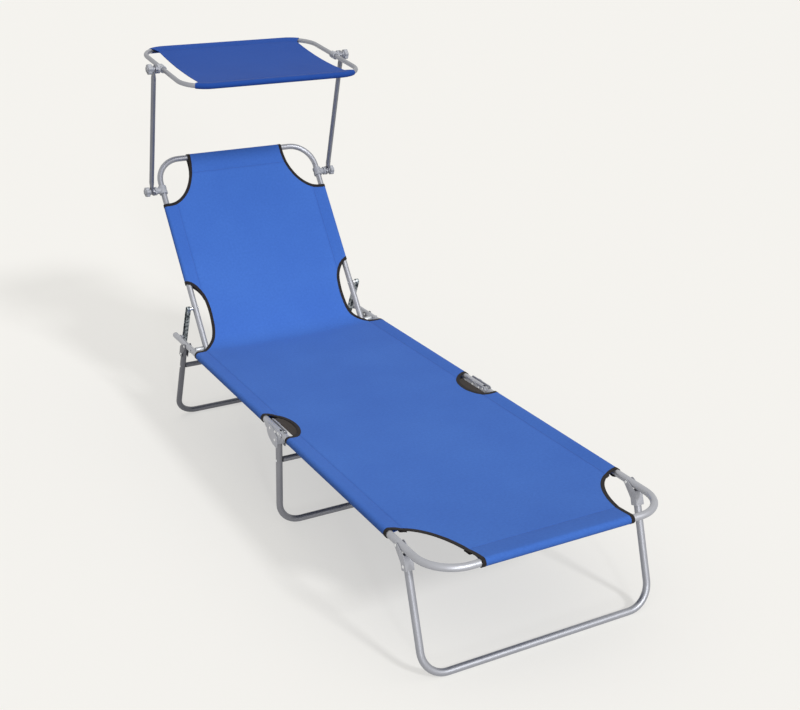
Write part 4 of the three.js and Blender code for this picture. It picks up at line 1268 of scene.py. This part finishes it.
lowerRuns = [runAcross(barRuns["foot"], barSeam)]
upperRuns = [runAcross(barRuns["head"], slingEnd - barSeam)]
for sign in (-1, 1):
    lowerRuns += [runAlong(sign * seamX, sideRuns[part]) for part in ("foot", "seat")]
    upperRuns += [runAlong(sign * seamX, sideRuns["hip"]),
                  runAlong(sign * backSeamX, sideRuns["back"])]
canopyRuns = [runAcross(barRuns["canopy"], sign * shadeSeam) for sign in (-1, 1)]
lowerStitches, upperStitches, _ = (
    finish(stitchRuns(name, runs, settle), name, place, threadBlue, body,
           smooth=60)
    for name, runs, settle, place, body in (
        ("lowerStitches", lowerRuns, onSling, seatPlace, None),
        ("upperStitches", upperRuns, onSling, seatPlace, None),
        ("canopyStitches", canopyRuns, onCanopy, canopyPlace, "canopy")))
print("seams stitched")

for piece in (lowerSling, lowerTape, lowerStitches):
    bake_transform(piece)
for piece in (upperSling, upperTape, upperStitches):
    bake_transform(piece)


# Floor, world and lamps
# The key lamp stands where the photograph's shadows point back to, and a low one in front fills
# the legs. Part of the floor's tone is its own paper white, which keeps the shadow pale, and it
# throws back only a grey floor's light, so that the undersides of tubes stay dark.
studio = {
    "floorSize": 60, "paper": "F3F2EF", "bounce": "8C8C8A", "paperGlow": 0.58,
    "backdrop": "F4F3EE", "sky": "FFFCF6", "horizon": 0.1, "overhead": 0.95,
}
lamps = {
    "keySun": {"from": (0.32, -1.42, 1.0), "strength": 1.75, "angle": 8},
    "lowSun": {"from": (-1.06, -4.27, 1.0), "strength": 0.8, "angle": 5},
}
bpy.ops.mesh.primitive_plane_add(size=studio["floorSize"], location=(0, 0, 0))
floor = bpy.context.object
floor.name = "studioFloor"
floorPaper, tree, shader = newMaterial("studioPaper", {
    "Base Color": colour(studio["paper"]), "Roughness": 1.0, "Specular IOR Level": 0.0,
})


# 1 for the rays that show a background: the camera's, and those mirrored or passed on to it
def seenRays(tree):
    rays = addNode(tree, "ShaderNodeLightPath").outputs
    direct = addNode(tree, "ShaderNodeMath", {"operation": "MAXIMUM"},
                     {0: rays["Is Camera Ray"], 1: rays["Is Glossy Ray"]})
    return addNode(tree, "ShaderNodeMath", {"operation": "MAXIMUM"},
                   {0: direct.outputs[0], 1: rays["Is Transmission Ray"]}).outputs[0]


tone = addNode(tree, "ShaderNodeMix",
               {"data_type": "RGBA", 6: colour(studio["bounce"]), 7: colour(studio["paper"])},
               {0: seenRays(tree)})
link(tree, shader, {"Base Color": tone.outputs[2]})
glow = addNode(tree, "ShaderNodeEmission", {"Color": colour(studio["paper"]), "Strength": 1.0})
glowShare = addNode(tree, "ShaderNodeMath", {"operation": "MULTIPLY", 1: studio["paperGlow"]},
                    {0: seenRays(tree)})
paper = addNode(tree, "ShaderNodeMixShader", {},
                {0: glowShare.outputs[0], 1: shader.outputs[0], 2: glow.outputs[0]})
link(tree, tree.nodes["Material Output"], {"Surface": paper.outputs[0]})
floor.data.materials.append(floorPaper)

world = bpy.data.worlds.new("studio")
bpy.context.scene.world = world
world.use_nodes = True
tree = world.node_tree
tree.nodes.clear()
place = addNode(tree, "ShaderNodeTexCoord").outputs["Generated"]
height = addNode(tree, "ShaderNodeSeparateXYZ", {}, {"Vector": place}).outputs["Z"]
softness = addNode(tree, "ShaderNodeMapRange",
                   {"To Min": studio["horizon"], "To Max": studio["overhead"]},
                   {"Value": height})
ambient = addNode(tree, "ShaderNodeBackground", {"Color": colour(studio["sky"])},
                  {"Strength": softness.outputs["Result"]})
backdrop = addNode(tree, "ShaderNodeBackground",
                   {"Color": colour(studio["backdrop"]), "Strength": 1.0})
mixed = addNode(tree, "ShaderNodeMixShader", {},
                {0: seenRays(tree), 1: ambient.outputs[0], 2: backdrop.outputs[0]})
addNode(tree, "ShaderNodeOutputWorld", {}, {"Surface": mixed.outputs[0]})

for name, lamp in lamps.items():
    bpy.ops.object.light_add(type="SUN")
    sun = bpy.context.object
    sun.name = name
    sun.rotation_euler = Vector(lamp["from"]).to_track_quat("Z", "Y").to_euler()
    sun.data.energy = lamp["strength"]
    sun.data.angle = math.radians(lamp["angle"])
bpy.context.scene.view_settings.view_transform = "Standard"
print("studio lit")
